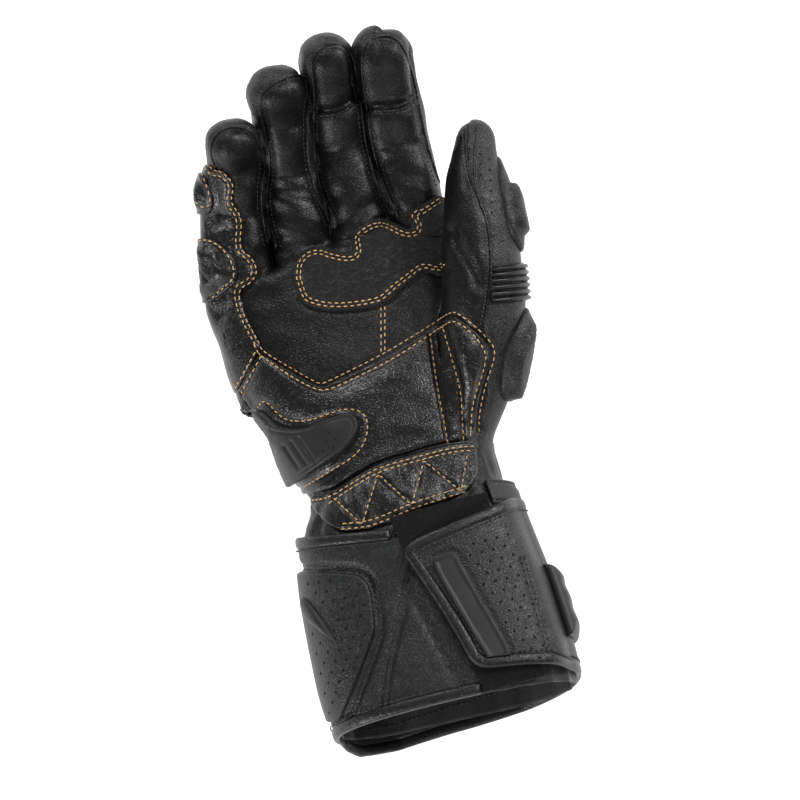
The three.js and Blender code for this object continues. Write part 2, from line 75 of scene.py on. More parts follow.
Array = np.ndarray
Points = Sequence[tuple[float, float]]
Line = tuple[Array, Array]  # points and the directions off the surface there
Tone = tuple[float, float, float]
Object = bpy.types.Object
Material = bpy.types.Material
Tree = bpy.types.NodeTree
Socket = bpy.types.NodeSocket


def pattern(points: Array) -> Array:
    """Returns where points lie in the pattern plane.

    Args:
        points: Points in the layout, one a row.

    Returns:
        Their two coordinates in the pattern plane, in millimetres.
    """
    return np.stack([points[:, 0], points @ PATTERN_UP], axis=1)


def ramp(value: Array, low: float, high: float) -> Array:
    """Returns a smooth step from 0 at low to 1 at high."""
    share = np.clip((value - low) / (high - low), 0.0, 1.0)
    return share * share * (3.0 - 2.0 * share)


def bell(value: Array, width: float) -> Array:
    """Returns a bell curve that is 1 at zero and fades over a width."""
    return np.exp(-((value / width) ** 2))


def unit(rows: Array) -> Array:
    """Returns vectors, one a row, drawn to length one."""
    return rows / np.maximum(np.linalg.norm(rows, axis=1, keepdims=True), 1e-12)


def squared(angle: Array, power: float) -> tuple[Array, Array]:
    """Returns the cosine and the sine of an angle, raised to a power that makes the circle squarer."""
    return tuple(np.sign(part) * np.abs(part) ** power for part in (np.cos(angle), np.sin(angle)))


def noise(points: Array, size: float, seed: int) -> Array:
    """Returns smooth noise between -1 and 1.

    Args:
        points: Where to read it, three coordinates a row.
        size: The size of its lumps, in the points' unit.
        seed: Which noise to read.

    Returns:
        One value for each point.
    """
    side = 24
    lattice = np.random.default_rng(seed).uniform(-1.0, 1.0, (side, side, side))
    place = points / size + 500.0
    cell = np.floor(place).astype(int)
    share = place - cell
    share = share * share * (3.0 - 2.0 * share)
    total = np.zeros(len(points))
    for corner in np.ndindex(2, 2, 2):
        weight = np.prod(np.where(corner, share, 1.0 - share), axis=1)
        x, y, z = ((cell + corner) % side).T
        total += weight * lattice[x, y, z]
    return total


def lumps(seed: int, *coordinates: Array) -> Array:
    """Returns noise with lumps of size one; a coordinate that isn't given is zero."""
    given = list(coordinates)
    while len(given) < 3:
        given.append(np.zeros(len(given[0])))
    return noise(np.stack(given, 1), 1.0, seed)


def smooth_path(points: Points, closed: bool = False, rounds: int = 3) -> Array:
    """Rounds the corners of a path by cutting them repeatedly.

    Args:
        points: The path's corners.
        closed: Whether the last corner joins the first.
        rounds: How often the corners are cut.

    Returns:
        The points of the rounded path, which keeps its ends where it is open.
    """
    path = np.array(points, float)
    for _ in range(rounds):
        after = np.roll(path, -1, axis=0) if closed else path[1:]
        before = path if closed else path[:-1]
        cut = np.stack([0.75 * before + 0.25 * after, 0.25 * before + 0.75 * after], axis=1)
        cut = cut.reshape(-1, path.shape[1])
        path = cut if closed else np.vstack([path[:1], cut[1:-1], path[-1:]])
    return path


def run_along(path: Array) -> Array:
    """Returns how far along a path each of its points lies."""
    return np.concatenate([[0.0], np.cumsum(np.linalg.norm(np.diff(path, axis=0), axis=1))])


def path_distance(spots: Array, path: Array, closed: bool = False) -> Array:
    """Returns how far spots lie from a path in the pattern plane."""
    ends = np.roll(path, -1, axis=0) if closed else path[1:]
    starts = path if closed else path[:-1]
    nearest = np.full(len(spots), np.inf)
    for start, end in zip(starts, ends):
        run = end - start
        share = np.clip(((spots - start) @ run) / max(run @ run, 1e-9), 0.0, 1.0)
        away = spots - start - share[:, None] * run
        nearest = np.minimum(nearest, np.einsum("ij,ij->i", away, away))
    return np.sqrt(nearest)


def inside_distance(spots: Array, outline: Array) -> Array:
    """Returns how deep spots lie inside a closed outline, negative outside it."""
    ends = np.roll(outline, -1, axis=0)
    inside = np.zeros(len(spots), bool)
    for (x0, y0), (x1, y1) in zip(outline, ends):
        spans = (y0 > spots[:, 1]) != (y1 > spots[:, 1])
        if y0 != y1:
            inside ^= spans & (spots[:, 0] < (x1 - x0) * (spots[:, 1] - y0) / (y1 - y0) + x0)
    return np.where(inside, 1.0, -1.0) * path_distance(spots, outline, closed=True)


def furrows(spots: Array, rows: Iterable[Points], depth: float, width: float, rounds: int = 2) -> Array:
    """Returns how far rows of stitches press a panel down.

    Args:
        spots: Where to read it, in the pattern plane.
        rows: The rows' paths.
        depth: How deep they press.
        width: How wide the press is.
        rounds: How much the paths' corners are rounded.

    Returns:
        A height for each spot, zero or negative.
    """
    relief = np.zeros(len(spots))
    for row in rows:
        away = path_distance(spots, smooth_path(row, rounds=rounds))
        relief = np.minimum(relief, -depth * bell(away, width))
    return relief


def sides_of(tris: Array) -> Array:
    """Returns the sides of triangles as pairs of vertices."""
    return np.vstack([tris[:, [0, 1]], tris[:, [1, 2]], tris[:, [2, 0]]])


@dataclass
class Skin:
    """A triangle mesh in the layout, with a direction off the surface and named values at each vertex."""

    verts: Array
    tris: Array
    off: Array | None = None
    values: dict[str, Array] = field(default_factory=dict)

    def __post_init__(self) -> None:
        """Works out the direction off the surface where none is given."""
        if self.off is None:
            self.off = self.normals()

    def normals(self) -> Array:
        """Returns the vertex normals, weighted by the area of the triangles."""
        a, b, c = (self.verts[self.tris[:, k]] for k in range(3))
        facing = np.cross(b - a, c - a)
        total = np.zeros_like(self.verts)
        for axis in range(3):
            for k in range(3):
                total[:, axis] += np.bincount(self.tris[:, k], facing[:, axis], len(self.verts))
        return unit(total)

    def pattern(self) -> Array:
        """Returns where the vertices lie in the pattern plane."""
        return pattern(self.verts)

    def facing(self) -> Array:
        """Returns how much each vertex faces the view, from -1 to 1."""
        return self.off @ TOWARDS_VIEW

    def clip(self, keep: Array) -> Skin:
        """Cuts the mesh along the line where a value at its vertices is zero.

        Args:
            keep: A value for each vertex, positive where the mesh is kept.

        Returns:
            The part that is kept, with its values carried to the cut.
        """
        inside = keep >= 0.0
        count = inside[self.tris].sum(axis=1)
        mixed = self.tris[(count == 1) | (count == 2)]
        within = inside[mixed]
        lone = within.sum(axis=1) == 1
        first = np.where(lone, within.argmax(axis=1), (~within).argmax(axis=1))
        turned = np.take_along_axis(mixed, (first[:, None] + np.arange(3)) % 3, axis=1)
        a, b, c = turned.T
        edges = np.sort(np.vstack([np.stack([a, b], 1), np.stack([a, c], 1)]), axis=1)
        unique, back = np.unique(edges, axis=0, return_inverse=True)
        back = back.reshape(-1)
        low, high = unique.T if len(unique) else (np.zeros(0, int), np.zeros(0, int))
        share = keep[low] / np.where(keep[low] == keep[high], 1.0, keep[low] - keep[high])
        share = np.clip(share, 0.02, 0.98)
        start = len(self.verts)
        ab, ac = start + back[: len(a)], start + back[len(a):]
        kept = [
            self.tris[count == 3],
            np.stack([a, ab, ac], 1)[lone],
            np.stack([ab, b, c], 1)[~lone],
            np.stack([ab, c, ac], 1)[~lone],
        ]

        def between(value: Array) -> Array:
            part = share if value.ndim == 1 else share[:, None]
            return value[low] * (1.0 - part) + value[high] * part

        whole = self._extended(np.vstack(kept), between)
        used, renumbered = np.unique(whole.tris, return_inverse=True)
        values = {name: value[used] for name, value in whole.values.items()}
        return Skin(whole.verts[used], renumbered.reshape(-1, 3), whole.off[used], values)

    def _extended(self, tris: Array, added: Callable[[Array], Array]) -> Skin:
        """Returns the mesh with other triangles and with vertices added to each of its arrays."""
        verts, off = (np.concatenate([value, added(value)]) for value in (self.verts, self.off))
        values = {name: np.concatenate([value, added(value)]) for name, value in self.values.items()}
        return Skin(verts, tris, off, values)

    def cut(self, depth: Array) -> tuple[Skin, Array]:
        """Cuts the mesh where its depth is zero and returns the part inside with its depth."""
        self.values["deep"] = depth
        part = self.clip(depth)
        return part, part.values["deep"]

    def halved(self) -> Skin:
        """Returns the mesh with each triangle cut into four."""
        unique, back = np.unique(np.sort(sides_of(self.tris), axis=1), axis=0, return_inverse=True)
        ab, bc, ca = (back.reshape(-1) + len(self.verts)).reshape(3, -1)
        a, b, c = self.tris.T
        tris = np.vstack([np.stack(t, 1) for t in ((a, ab, ca), (ab, b, bc), (ca, bc, c), (ab, bc, ca))])
        return self._extended(tris, lambda value: value[unique].mean(axis=1))

    def raised(self, height: Array | float) -> Skin:
        """Returns the mesh moved off its surface by a height."""
        lift = np.broadcast_to(height, (len(self.verts),))[:, None]
        verts = self.verts + self.off * lift
        verts[:, 2] = np.maximum(verts[:, 2], 0.0)
        return Skin(verts, self.tris, self.off.copy(), dict(self.values))

    def furrowed(self, rows: Iterable[Points], depth: float, width: float, rounds: int = 2) -> Skin:
        """Returns the mesh pressed down by rows of stitches."""
        return self.raised(furrows(self.pattern(), rows, depth, width, rounds))

    def smoothed(self, rounds: int, strength: float = 0.5) -> Skin:
        """Returns the mesh with its vertices drawn towards their neighbours."""
        edges = sides_of(self.tris)
        here, there = np.vstack([edges, edges[:, ::-1]]).T
        count = np.maximum(np.bincount(here, minlength=len(self.verts)), 1)
        verts = self.verts.copy()
        for _ in range(rounds):
            total = np.stack([np.bincount(here, verts[there, k], len(verts)) for k in range(3)], 1)
            verts += strength * (total / count[:, None] - verts)
        return Skin(verts, self.tris, None, dict(self.values))

    def refreshed(self) -> Skin:
        """Returns the mesh with the direction off its surface worked out anew."""
        return Skin(self.verts, self.tris, None, dict(self.values))

    def closed(self, thickness: float) -> Skin:
        """Returns the sheet as a closed wall, with its inner face and its edges.

        Args:
            thickness: How thick the wall is, measured inwards.

        Returns:
            The closed mesh.
        """
        count = len(self.verts)
        inner = self.verts - self.off * thickness
        inner[:, 2] = np.maximum(inner[:, 2], 0.0)
        edges = sides_of(self.tris)
        codes = edges[:, 0].astype(np.int64) * count + edges[:, 1]
        reverse = edges[:, 1].astype(np.int64) * count + edges[:, 0]
        rim = edges[~np.isin(codes, reverse)]
        i, j = rim.T
        walls = [np.stack([j, i, i + count], 1), np.stack([j, i + count, j + count], 1)]
        tris = np.vstack([self.tris, self.tris[:, ::-1] + count, *walls])
        values = {name: np.concatenate([value, value]) for name, value in self.values.items()}
        return Skin(np.vstack([self.verts, inner]), tris, np.vstack([self.off, -self.off]), values)

    def tree(self) -> BVHTree:
        """Returns a search tree of the mesh for finding points on it."""
        return BVHTree.FromPolygons(self.verts.tolist(), self.tris.tolist())


def inside_outline(skin: Skin, outline: Points) -> Array:
    """Returns how deep the vertices lie inside an outline with rounded corners, negative outside it."""
    return inside_distance(skin.pattern(), smooth_path(outline, closed=True, rounds=2))


def joined(skins: Iterable[Skin]) -> Skin:
    """Returns several meshes as one."""
    verts, tris, off, start = [], [], [], 0
    for skin in skins:
        verts.append(skin.verts)
        tris.append(skin.tris + start)
        off.append(skin.off)
        start += len(skin.verts)
    return Skin(np.vstack(verts), np.vstack(tris), np.vstack(off))


def swept_band(points: Array, ups: Array, sides: Array, wide: float, deep: float,
               sections: int = 14) -> Skin:
    """Sweeps a rounded band along a line.

    Args:
        points: The middle of the band's inner edge.
        ups: The directions off the surface.
        sides: The directions across the band.
        wide: The band's width.
        deep: Its thickness.
        sections: The number of points round it.

    Returns:
        The closed band.
    """
    angles = np.linspace(0.0, 2 * np.pi, sections, endpoint=False)
    across, upward = squared(angles, 0.75)
    rings = (
        points[:, None, :] + sides[:, None, :] * (wide / 2 * (1 + across))[None, :, None]
        + ups[:, None, :] * (deep / 2 * upward)[None, :, None]
    )
    rings[..., 2] = np.maximum(rings[..., 2], 0.0)
    index = np.arange(len(points) * sections).reshape(len(points), sections)
    a, b = index[:-1], np.roll(index[:-1], -1, axis=1)
    c, d = np.roll(index[1:], -1, axis=1), index[1:]
    start, end = index[0], index[-1]
    faces = np.vstack([
        np.stack([a, b, c], -1).reshape(-1, 3), np.stack([a, c, d], -1).reshape(-1, 3),
        np.stack([np.full(sections - 2, start[0]), start[2:], start[1:-1]], 1),
        np.stack([np.full(sections - 2, end[0]), end[1:-1], end[2:]], 1),
    ])
    verts = rings.reshape(-1, 3)
    x, y, z = (verts[faces[:, k]] for k in range(3))
    if np.einsum("ij,ij->i", x - x.mean(axis=0), np.cross(y - x, z - x)).sum() < 0:
        faces = faces[:, ::-1]
    return Skin(verts, faces)


def welt(line: Line, wide: float, deep: float) -> Skin:
    """Lays a rounded welt along a seam line, in pieces where the line is broken.

    Args:
        line: The seam line.
        wide: The welt's width.
        deep: Its thickness.

    Returns:
        The welt.
    """
    points, ups = line
    breaks = np.flatnonzero(np.linalg.norm(np.diff(points, axis=0), axis=1) > JUMP) + 1
    kernel = np.array([1.0, 2.0, 3.0, 2.0, 1.0]) / 9.0
    parts = []
    for run, up in zip(np.split(points, breaks), np.split(ups, breaks)):
        if len(run) < 6:
            continue
        run, up = (
            np.stack([np.convolve(np.pad(row, 2, mode="edge"), kernel, "valid") for row in part.T], 1)
            for part in (run, up)
        )
        ahead = unit(np.gradient(run, axis=0))
        sides = unit(np.cross(ahead, up))
        up = np.cross(sides, ahead)
        parts.append(swept_band(run - sides * wide / 2, up, sides, wide, deep, 10))
    return joined(parts)


def linked(name: str, data: bpy.types.ID) -> Object:
    """Puts an object with the given data in the scene."""
    made = bpy.data.objects.new(name, data)
    bpy.context.scene.collection.objects.link(made)
    return made


def make_object(name: str, skin: Skin, material: Material) -> Object:
    """Makes a Blender object of a mesh.

    Args:
        name: The piece's name.
        skin: The mesh, in the layout.
        material: What it is made of.

    Returns:
        The new object, at the origin.
    """
    mesh = bpy.data.meshes.new(name)
    count = len(skin.tris)
    mesh.vertices.add(len(skin.verts))
    mesh.vertices.foreach_set("co", ((skin.verts - LAYOUT_MIDDLE) * MM).astype(np.float32).ravel())
    mesh.loops.add(3 * count)
    mesh.loops.foreach_set("vertex_index", skin.tris.astype(np.int32).ravel())
    mesh.polygons.add(count)
    mesh.polygons.foreach_set("loop_start", np.arange(0, 3 * count, 3, dtype=np.int32))
    mesh.polygons.foreach_set("use_smooth", np.ones(count, bool))
    mesh.update(calc_edges=True)
    mesh.validate()
    mesh.materials.append(material)
    return linked(name, mesh)


class Slot(Enum):
    """The record's material slots."""

    GRAIN = "grain_leather"
    MATTE = "matte_leather"
    SUEDE = "grip_suede"
    RUBBER = "moulded_rubber"
    RIBS = "stretch_ribs"
    LOOP = "hook_loop"


def dress(piece: Object, slot: Slot, *nodes: str) -> Object:
    """Fits a piece to the frame.

    Args:
        piece: The Blender object.
        slot: The record's slot for its finish; not used.
        nodes: The solids that it stands for.

    Returns:
        The same piece.
    """
    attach(piece, "root")
    if nodes:
        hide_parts(*nodes)
    log.info("%s: %d triangles", piece.name, len(piece.data.polygons))
    return piece


@dataclass
class Limb:
    """A smooth tube through sections, closed by a rounded end.

    Fields: the sections (x, y, z, half width and half depth a row), how far the tube is turned, the length of
    its rounded end, the squareness of its section, the floor under it and the number of samples.
    """

    rows: Sequence[Sequence[float]]
    roll: float = 0.0
    end: float = 9.0
    square: float = 2.3
    floor: float = 0.0
    count: int = 160

    def __post_init__(self) -> None:
        """Samples the centre line and the section's size along it."""
        rows = np.array(self.rows, float)
        share = np.linspace(0.0, 1.0, self.count)
        self.centre = self._through(rows[:, :3], share)
        self.size = self._through(rows[:, 3:5], share)
        self.ahead = unit(np.gradient(self.centre, axis=0))
        turn = math.radians(self.roll)
        side = np.array([math.cos(turn), 0.0, -math.sin(turn)])
        self.side = unit(side - self.ahead * (self.ahead @ side)[:, None])
        self.up = np.cross(self.side, self.ahead)
        self.run = run_along(self.centre)

    @staticmethod
    def _through(knots: Array, share: Array) -> Array:
        """Returns points on a Catmull-Rom curve through knots at shares of its length."""
        padded = np.vstack([2 * knots[0] - knots[1], knots, 2 * knots[-1] - knots[-2]])
        spot = share * (len(knots) - 1)
        at = np.minimum(spot.astype(int), len(knots) - 2)
        t = (spot - at)[:, None]
        p0, p1, p2, p3 = (padded[at + k] for k in range(4))
        g0, g1, g2 = (
            np.maximum(np.linalg.norm(b - a, axis=1, keepdims=True) ** 0.5, 1e-4)
            for a, b in ((p0, p1), (p1, p2), (p2, p3))
        )
        m1 = ((p1 - p0) / g0 - (p2 - p0) / (g0 + g1) + (p2 - p1) / g1) * g1
        m2 = ((p2 - p1) / g1 - (p3 - p1) / (g1 + g2) + (p3 - p2) / g2) * g1
        return (
            p1 * (2 * t**3 - 3 * t**2 + 1) + m1 * (t**3 - 2 * t**2 + t)
            + p2 * (-2 * t**3 + 3 * t**2) + m2 * (t**3 - t**2)
        )

    def point(self, degrees: Array, share: Array, offset: Array | float) -> Array:
        """Returns points off the tube's surface.

        Args:
            degrees: The angle round the tube.
            share: The share along it.
            offset: The distance off its surface.

        Returns:
            The points, one a row.
        """
        spot = np.clip(share, 0.0, 1.0) * (self.count - 1)
        low = np.minimum(spot.astype(int), self.count - 2)
        part = (spot - low)[:, None]

        def at(value: Array) -> Array:
            return value[low] * (1.0 - part) + value[low + 1] * part

        across, upward = squared(np.radians(degrees), 2.0 / self.square)
        size = at(self.size)
        points = at(self.centre) + at(self.side) * ((size[:, 0] + offset) * across)[:, None]
        points += at(self.up) * ((size[:, 1] + offset) * upward)[:, None]
        points[:, 2] = np.maximum(points[:, 2], np.maximum(self.floor - offset, 0.0))
        return points

    def locate(self, points: Array) -> tuple[Array, Array, Array, Array]:
        """Returns where points lie against the tube.

        Args:
            points: Points in the layout.

        Returns:
            The nearest sample, and the distances sideways, upwards and past it.
        """
        nearest = np.empty(len(points), int)
        for start in range(0, len(points), 20000):
            part = points[start: start + 20000]
            gap = (part**2).sum(1)[:, None] - 2 * part @ self.centre.T + (self.centre**2).sum(1)
            nearest[start: start + 20000] = gap.argmin(axis=1)
        away = points - self.centre[nearest]
        dots = [np.einsum("ij,ij->i", away, axis[nearest]) for axis in (self.side, self.up, self.ahead)]
        return nearest, *dots

    def distance(self, points: Array) -> Array:
        """Returns how far points lie outside the tube, negative inside it."""
        at, across, upward, past = self.locate(points)
        wide, deep = self.size[at].T
        power = self.square
        reach = (np.abs(across / wide) ** power + np.abs(upward / deep) ** power) ** (1.0 / power)
        beyond = np.where((at == self.count - 1) & (past > 0.0), past, 0.0)
        reach = np.maximum(np.hypot(reach, beyond / self.end), 1e-3)
        length = np.sqrt(across**2 + upward**2 + beyond**2)
        return np.maximum(length * (1.0 - 1.0 / reach), -0.98 * np.minimum(wide, deep))

    def around(self, points: Array) -> tuple[Array, Array]:
        """Returns each point's angle round the tube in degrees and its run along it in millimetres."""
        at, across, upward, past = self.locate(points)
        wide, deep = self.size[at].T
        degrees = np.degrees(np.arctan2(upward / deep, across / wide))
        beyond = np.where(at == self.count - 1, np.maximum(past, 0.0), 0.0)
        return degrees, self.run[at] + beyond


CUFF_ROWS = [
    (-3, -150, 27, 49.6, 28), (-3.5, -125, 27, 50.9, 28), (-5.2, -100, 26.5, 50.2, 27.5),
    (-6.5, -75, 26.5, 47.5, 27), (-7.5, -46, 26, 44, 26.5),
]
PALM_ROWS = [
    (-5.9, -88, 28, 47.6, 25.2), (-6.8, -66, 27.5, 45.3, 24.8), (-5.5, -52, 26.2, 41, 23.9),
    (-4.5, -40, 24.2, 38.5, 23), (-7.8, -20, 21.5, 43.2, 23), (-9.2, 2, 20.5, 50, 23),
    (-12, 26, 20, 53.5, 21.5), (-14, 46, 20, 54, 20), (-15.5, 57, 21, 52.5, 17.5),
]
THUMB_ROWS = [
    (21, -26, 23, 14, 14), (33.5, -4, 31, 17, 15.5), (42, 20, 42, 15.5, 17.3),
    (46.6, 47, 48, 14.5, 16), (49.7, 72, 49.5, 12, 11.5), (53.4, 89.2, 48.5, 7.9, 8.2),
]


@dataclass(frozen=True)
class Finger:
    """One finger.

    Fields: its knuckle, the drift to its tip, bone lengths and pitches, half sizes, roll, the rounding of its
    tip and how far its tube begins before the knuckle.
    """

    name: str
    x: float
    y: float
    z: float
    drift: float
    lengths: tuple[float, float, float]
    pitches: tuple[float, float, float]
    wide: float
    deep: float
    roll: float
    tip: float
    lead: float = 22.0

    def rows(self) -> list[tuple[float, float, float, float, float]]:
        """Returns the sections of the finger, pinched at its joints and full between them."""
        total = sum(self.lengths)
        first = math.radians(self.pitches[0]) / 2
        y, z, run = self.y, self.z, 0.0
        before = (self.x, y - self.lead * math.cos(first), z - self.lead * math.sin(first))
        rows = [(*before, self.wide, self.deep), (self.x, y, z, self.wide, self.deep)]
        for bone, (length, degrees) in enumerate(zip(self.lengths, self.pitches)):
            pitch = math.radians(degrees)
            taper = 1 - 0.015 * (bone + 1)
            for share, change in ([(1, 0.0)] if bone == 2 else [(0.5, 0.5), (1, -0.9)]):
                x = self.x + self.drift * (run + length * share) / total
                away, rise = length * share * math.cos(pitch), length * share * math.sin(pitch)
                wide, deep = self.wide * taper + change / 2, self.deep * taper + change
                rows.append((x, y + away, z + rise, wide, deep))
            y, z, run = y + length * math.cos(pitch), z + length * math.sin(pitch), run + length
        return rows

    def limb(self) -> Limb:
        """Returns the finger's tube."""
        return Limb(self.rows(), self.roll, self.tip, 2.25)


FINGERS = [
    Finger("index", 22.8, 60, 23, 1.5, (44, 25, 13), (13, 29, 44), 12.4, 11.8, 2, 11),
    Finger("middle", -2, 61, 23, 1.5, (46, 26, 13), (14, 31, 47), 12.5, 11.9, 8, 11),
    Finger("ring", -27.5, 58, 22, 3.5, (43, 25, 13), (16, 35, 54), 13, 11.6, 16, 11),
    Finger("little", -55.4, 51, 22, 9.2, (38, 21, 11), (18, 38, 56), 12.3, 11.2, 12, 10),
]

@dataclass
class Shader:
    """A short way to build a node tree."""

    tree: Tree

    @classmethod
    def group(cls, name: str, kind: str, given: dict[str, str | float], kept: dict[str, str]) -> Shader:
        """Makes a node group.

        Args:
            name: The group's name.
            kind: Blender's name for the kind of tree.
            given: Its inputs, each with the kind of its socket or, for a number, with its default value.
            kept: Its outputs, each with the kind of its socket.

        Returns:
            A builder for the group.
        """
        tree = bpy.data.node_groups.new(name, kind)
        for label, value in given.items():
            number = isinstance(value, float)
            socket = "NodeSocketFloat" if number else "NodeSocket" + value
            made = tree.interface.new_socket(label, in_out="INPUT", socket_type=socket)
            if number:
                made.default_value = value
        for label, value in kept.items():
            tree.interface.new_socket(label, in_out="OUTPUT", socket_type="NodeSocket" + value)
        shader = cls(tree)
        shader.add("NodeGroupInput")
        shader.add("NodeGroupOutput")
        return shader

    @property
    def given(self) -> bpy.types.NodeOutputs:
        """The sockets that bring in the group's inputs."""
        return self.tree.nodes["Group Input"].outputs

    def keep(self, **values: object) -> Tree:
        """Links the group's outputs by name and returns its tree."""
        for name, value in values.items():
            self.give(self.tree.nodes["Group Output"].inputs[name], value)
        return self.tree

    def add(self, kind: str, *values: object, **settings: object) -> bpy.types.Node:
        """Adds a node.

        Args:
            kind: Blender's name for the node's type.
            values: Values or sockets for its inputs, in their order.
            settings: Properties of the node, and values or sockets for its inputs by name.

        Returns:
            The new node.
        """
        node = self.tree.nodes.new(kind)
        for name, value in settings.items():
            if hasattr(node, name):
                setattr(node, name, value)
            else:
                self.give(node.inputs[name.replace("_", " ")], value)
        for socket, value in zip(node.inputs, values):
            self.give(socket, value)
        return node

    def give(self, socket: Socket, value: object) -> None:
        """Links a socket to another one, or sets its value."""
        if isinstance(value, Socket):
            self.tree.links.new(value, socket)
        else:
            socket.default_value = value

    def math(self, operation: str, *values: object) -> Socket:
        """Returns the output of a Math node on sockets or numbers."""
        return self.add("ShaderNodeMath", *values, operation=operation).outputs[0]


def pebble_group() -> Tree:
    """Builds the leather grain: long pebbles that follow the hide's stretch, parted by fine creases that hold
    painted shade.
    """
    given = {"Vector": "Vector", "Pebble": 900.0, "Crease": 0.5, "Uneven": 0.5}
    kept = {"Height": "Float", "Tone": "Float", "Patch": "Float"}
    s = Shader.group("pebble_grain", "ShaderNodeTree", given, kept)
    place, pebble = s.given["Vector"], s.given["Pebble"]
    turned = s.add("ShaderNodeVectorRotate", rotation_type="Z_AXIS", Vector=place, Angle=math.radians(-24))
    stretch = (0.66, 1.0, 0.8)
    spot = s.add("ShaderNodeVectorMath", turned.outputs[0], stretch, operation="MULTIPLY").outputs[0]
    for scale, reach in ((75.0, 0.005), (420.0, 0.0008)):
        warp = s.add("ShaderNodeTexNoise", Vector=place, Scale=scale, Detail=1.0).outputs["Color"]
        shift = s.add("ShaderNodeVectorMath", warp, (reach, reach, reach), spot, operation="MULTIPLY_ADD")
        spot = shift.outputs[0]
    cells = s.add("ShaderNodeTexVoronoi", feature="DISTANCE_TO_EDGE", Vector=spot, Scale=pebble)
    s.give(cells.inputs["Randomness"], 0.95)
    edge = cells.outputs["Distance"]
    dome = s.add("ShaderNodeMapRange", interpolation_type="SMOOTHSTEP", Value=edge, From_Max=0.32)
    fine = s.add("ShaderNodeTexNoise", Vector=spot, Scale=s.math("MULTIPLY", pebble, 1.7), Detail=2.0)
    creases = s.math("MULTIPLY", fine.outputs["Fac"], s.given["Crease"])
    broad = s.add("ShaderNodeTexNoise", Vector=place, Scale=120.0, Detail=3.0)
    uneven = s.math("MULTIPLY", broad.outputs["Fac"], s.given["Uneven"])
    height = s.math("ADD", s.math("ADD", dome.outputs[0], creases), uneven)
    # The tone is painted shade: darker in the grain's creases, lighter on the pebbles' tops
    crease_shade = s.add("ShaderNodeMapRange", Value=height, From_Min=0.3, From_Max=1.4)
    patch = s.add("ShaderNodeTexNoise", Vector=place, Scale=55.0, Detail=4.0, Roughness=0.6)
    return s.keep(Height=height, Tone=crease_shade.outputs[0], Patch=patch.outputs["Fac"])


def fuzz_group() -> Tree:
    """Builds a fibrous surface: short tangled hairs and flecks."""
    given = {"Vector": "Vector", "Fibre": 1400.0, "Stretch": 3.0}
    s = Shader.group("fibre_fuzz", "ShaderNodeTree", given, {"Height": "Float", "Tone": "Float"})
    drawn = s.add("ShaderNodeCombineXYZ", s.math("DIVIDE", 1.0, s.given["Stretch"]), 1.0, 1.0).outputs[0]
    turn = (0.3, 0.2, math.radians(38))
    turned = s.add("ShaderNodeMapping", Vector=s.given["Vector"], Rotation=turn, Scale=drawn).outputs[0]
    tangle = {"Scale": s.given["Fibre"], "Detail": 5.0, "Roughness": 0.7, "Distortion": 1.2}
    hairs = s.add("ShaderNodeTexNoise", Vector=turned, **tangle).outputs["Fac"]
    fleck = s.add("ShaderNodeMapRange", Value=hairs, From_Min=0.5, From_Max=0.68)
    return s.keep(Height=hairs, Tone=fleck.outputs[0])


@dataclass(frozen=True)
class Finish:
    """A finish over a texture group.

    Fields: its name, dark and light tone, roughness, the texture's depth in millimetres and its numbers, how
    far the roughness spreads, the group's outputs for tone and roughness, and its shine and sheen.
    """

    name: str
    dark: Tone
    light: Tone
    roughness: float
    depth: float
    numbers: dict[str, float]
    spread: float = 0.0
    tone_from: str = "Tone"
    rough_from: str = "Height"
    specular: float = 0.5
    sheen: float = 0.0

    def build(self, texture: Tree) -> Material:
        """Builds the material around its texture group."""
        material = bpy.data.materials.new(self.name)
        material.use_nodes = True
        s = Shader(material.node_tree)
        place = s.add("ShaderNodeTexCoord").outputs["Object"]
        group = s.add("ShaderNodeGroup", node_tree=texture, Vector=place, **self.numbers).outputs
        tones = {"A": (*self.dark, 1.0), "B": (*self.light, 1.0)}
        tone = s.add("ShaderNodeMix", data_type="RGBA", Factor=group[self.tone_from], **tones)
        bump = s.add("ShaderNodeBump", Distance=self.depth * MM, Strength=1.0, Height=group["Height"])
        rough = self.roughness
        if self.spread:
            low = self.roughness - self.spread / 2
            rough = s.math("MULTIPLY_ADD", group[self.rough_from], self.spread, low)
        surface = {
            "Base Color": tone.outputs["Result"], "Roughness": rough, "Normal": bump.outputs["Normal"],
            "Specular IOR Level": self.specular, "Sheen Weight": self.sheen,
        }
        for name, value in surface.items():
            s.give(s.tree.nodes["Principled BSDF"].inputs[name], value)
        return material


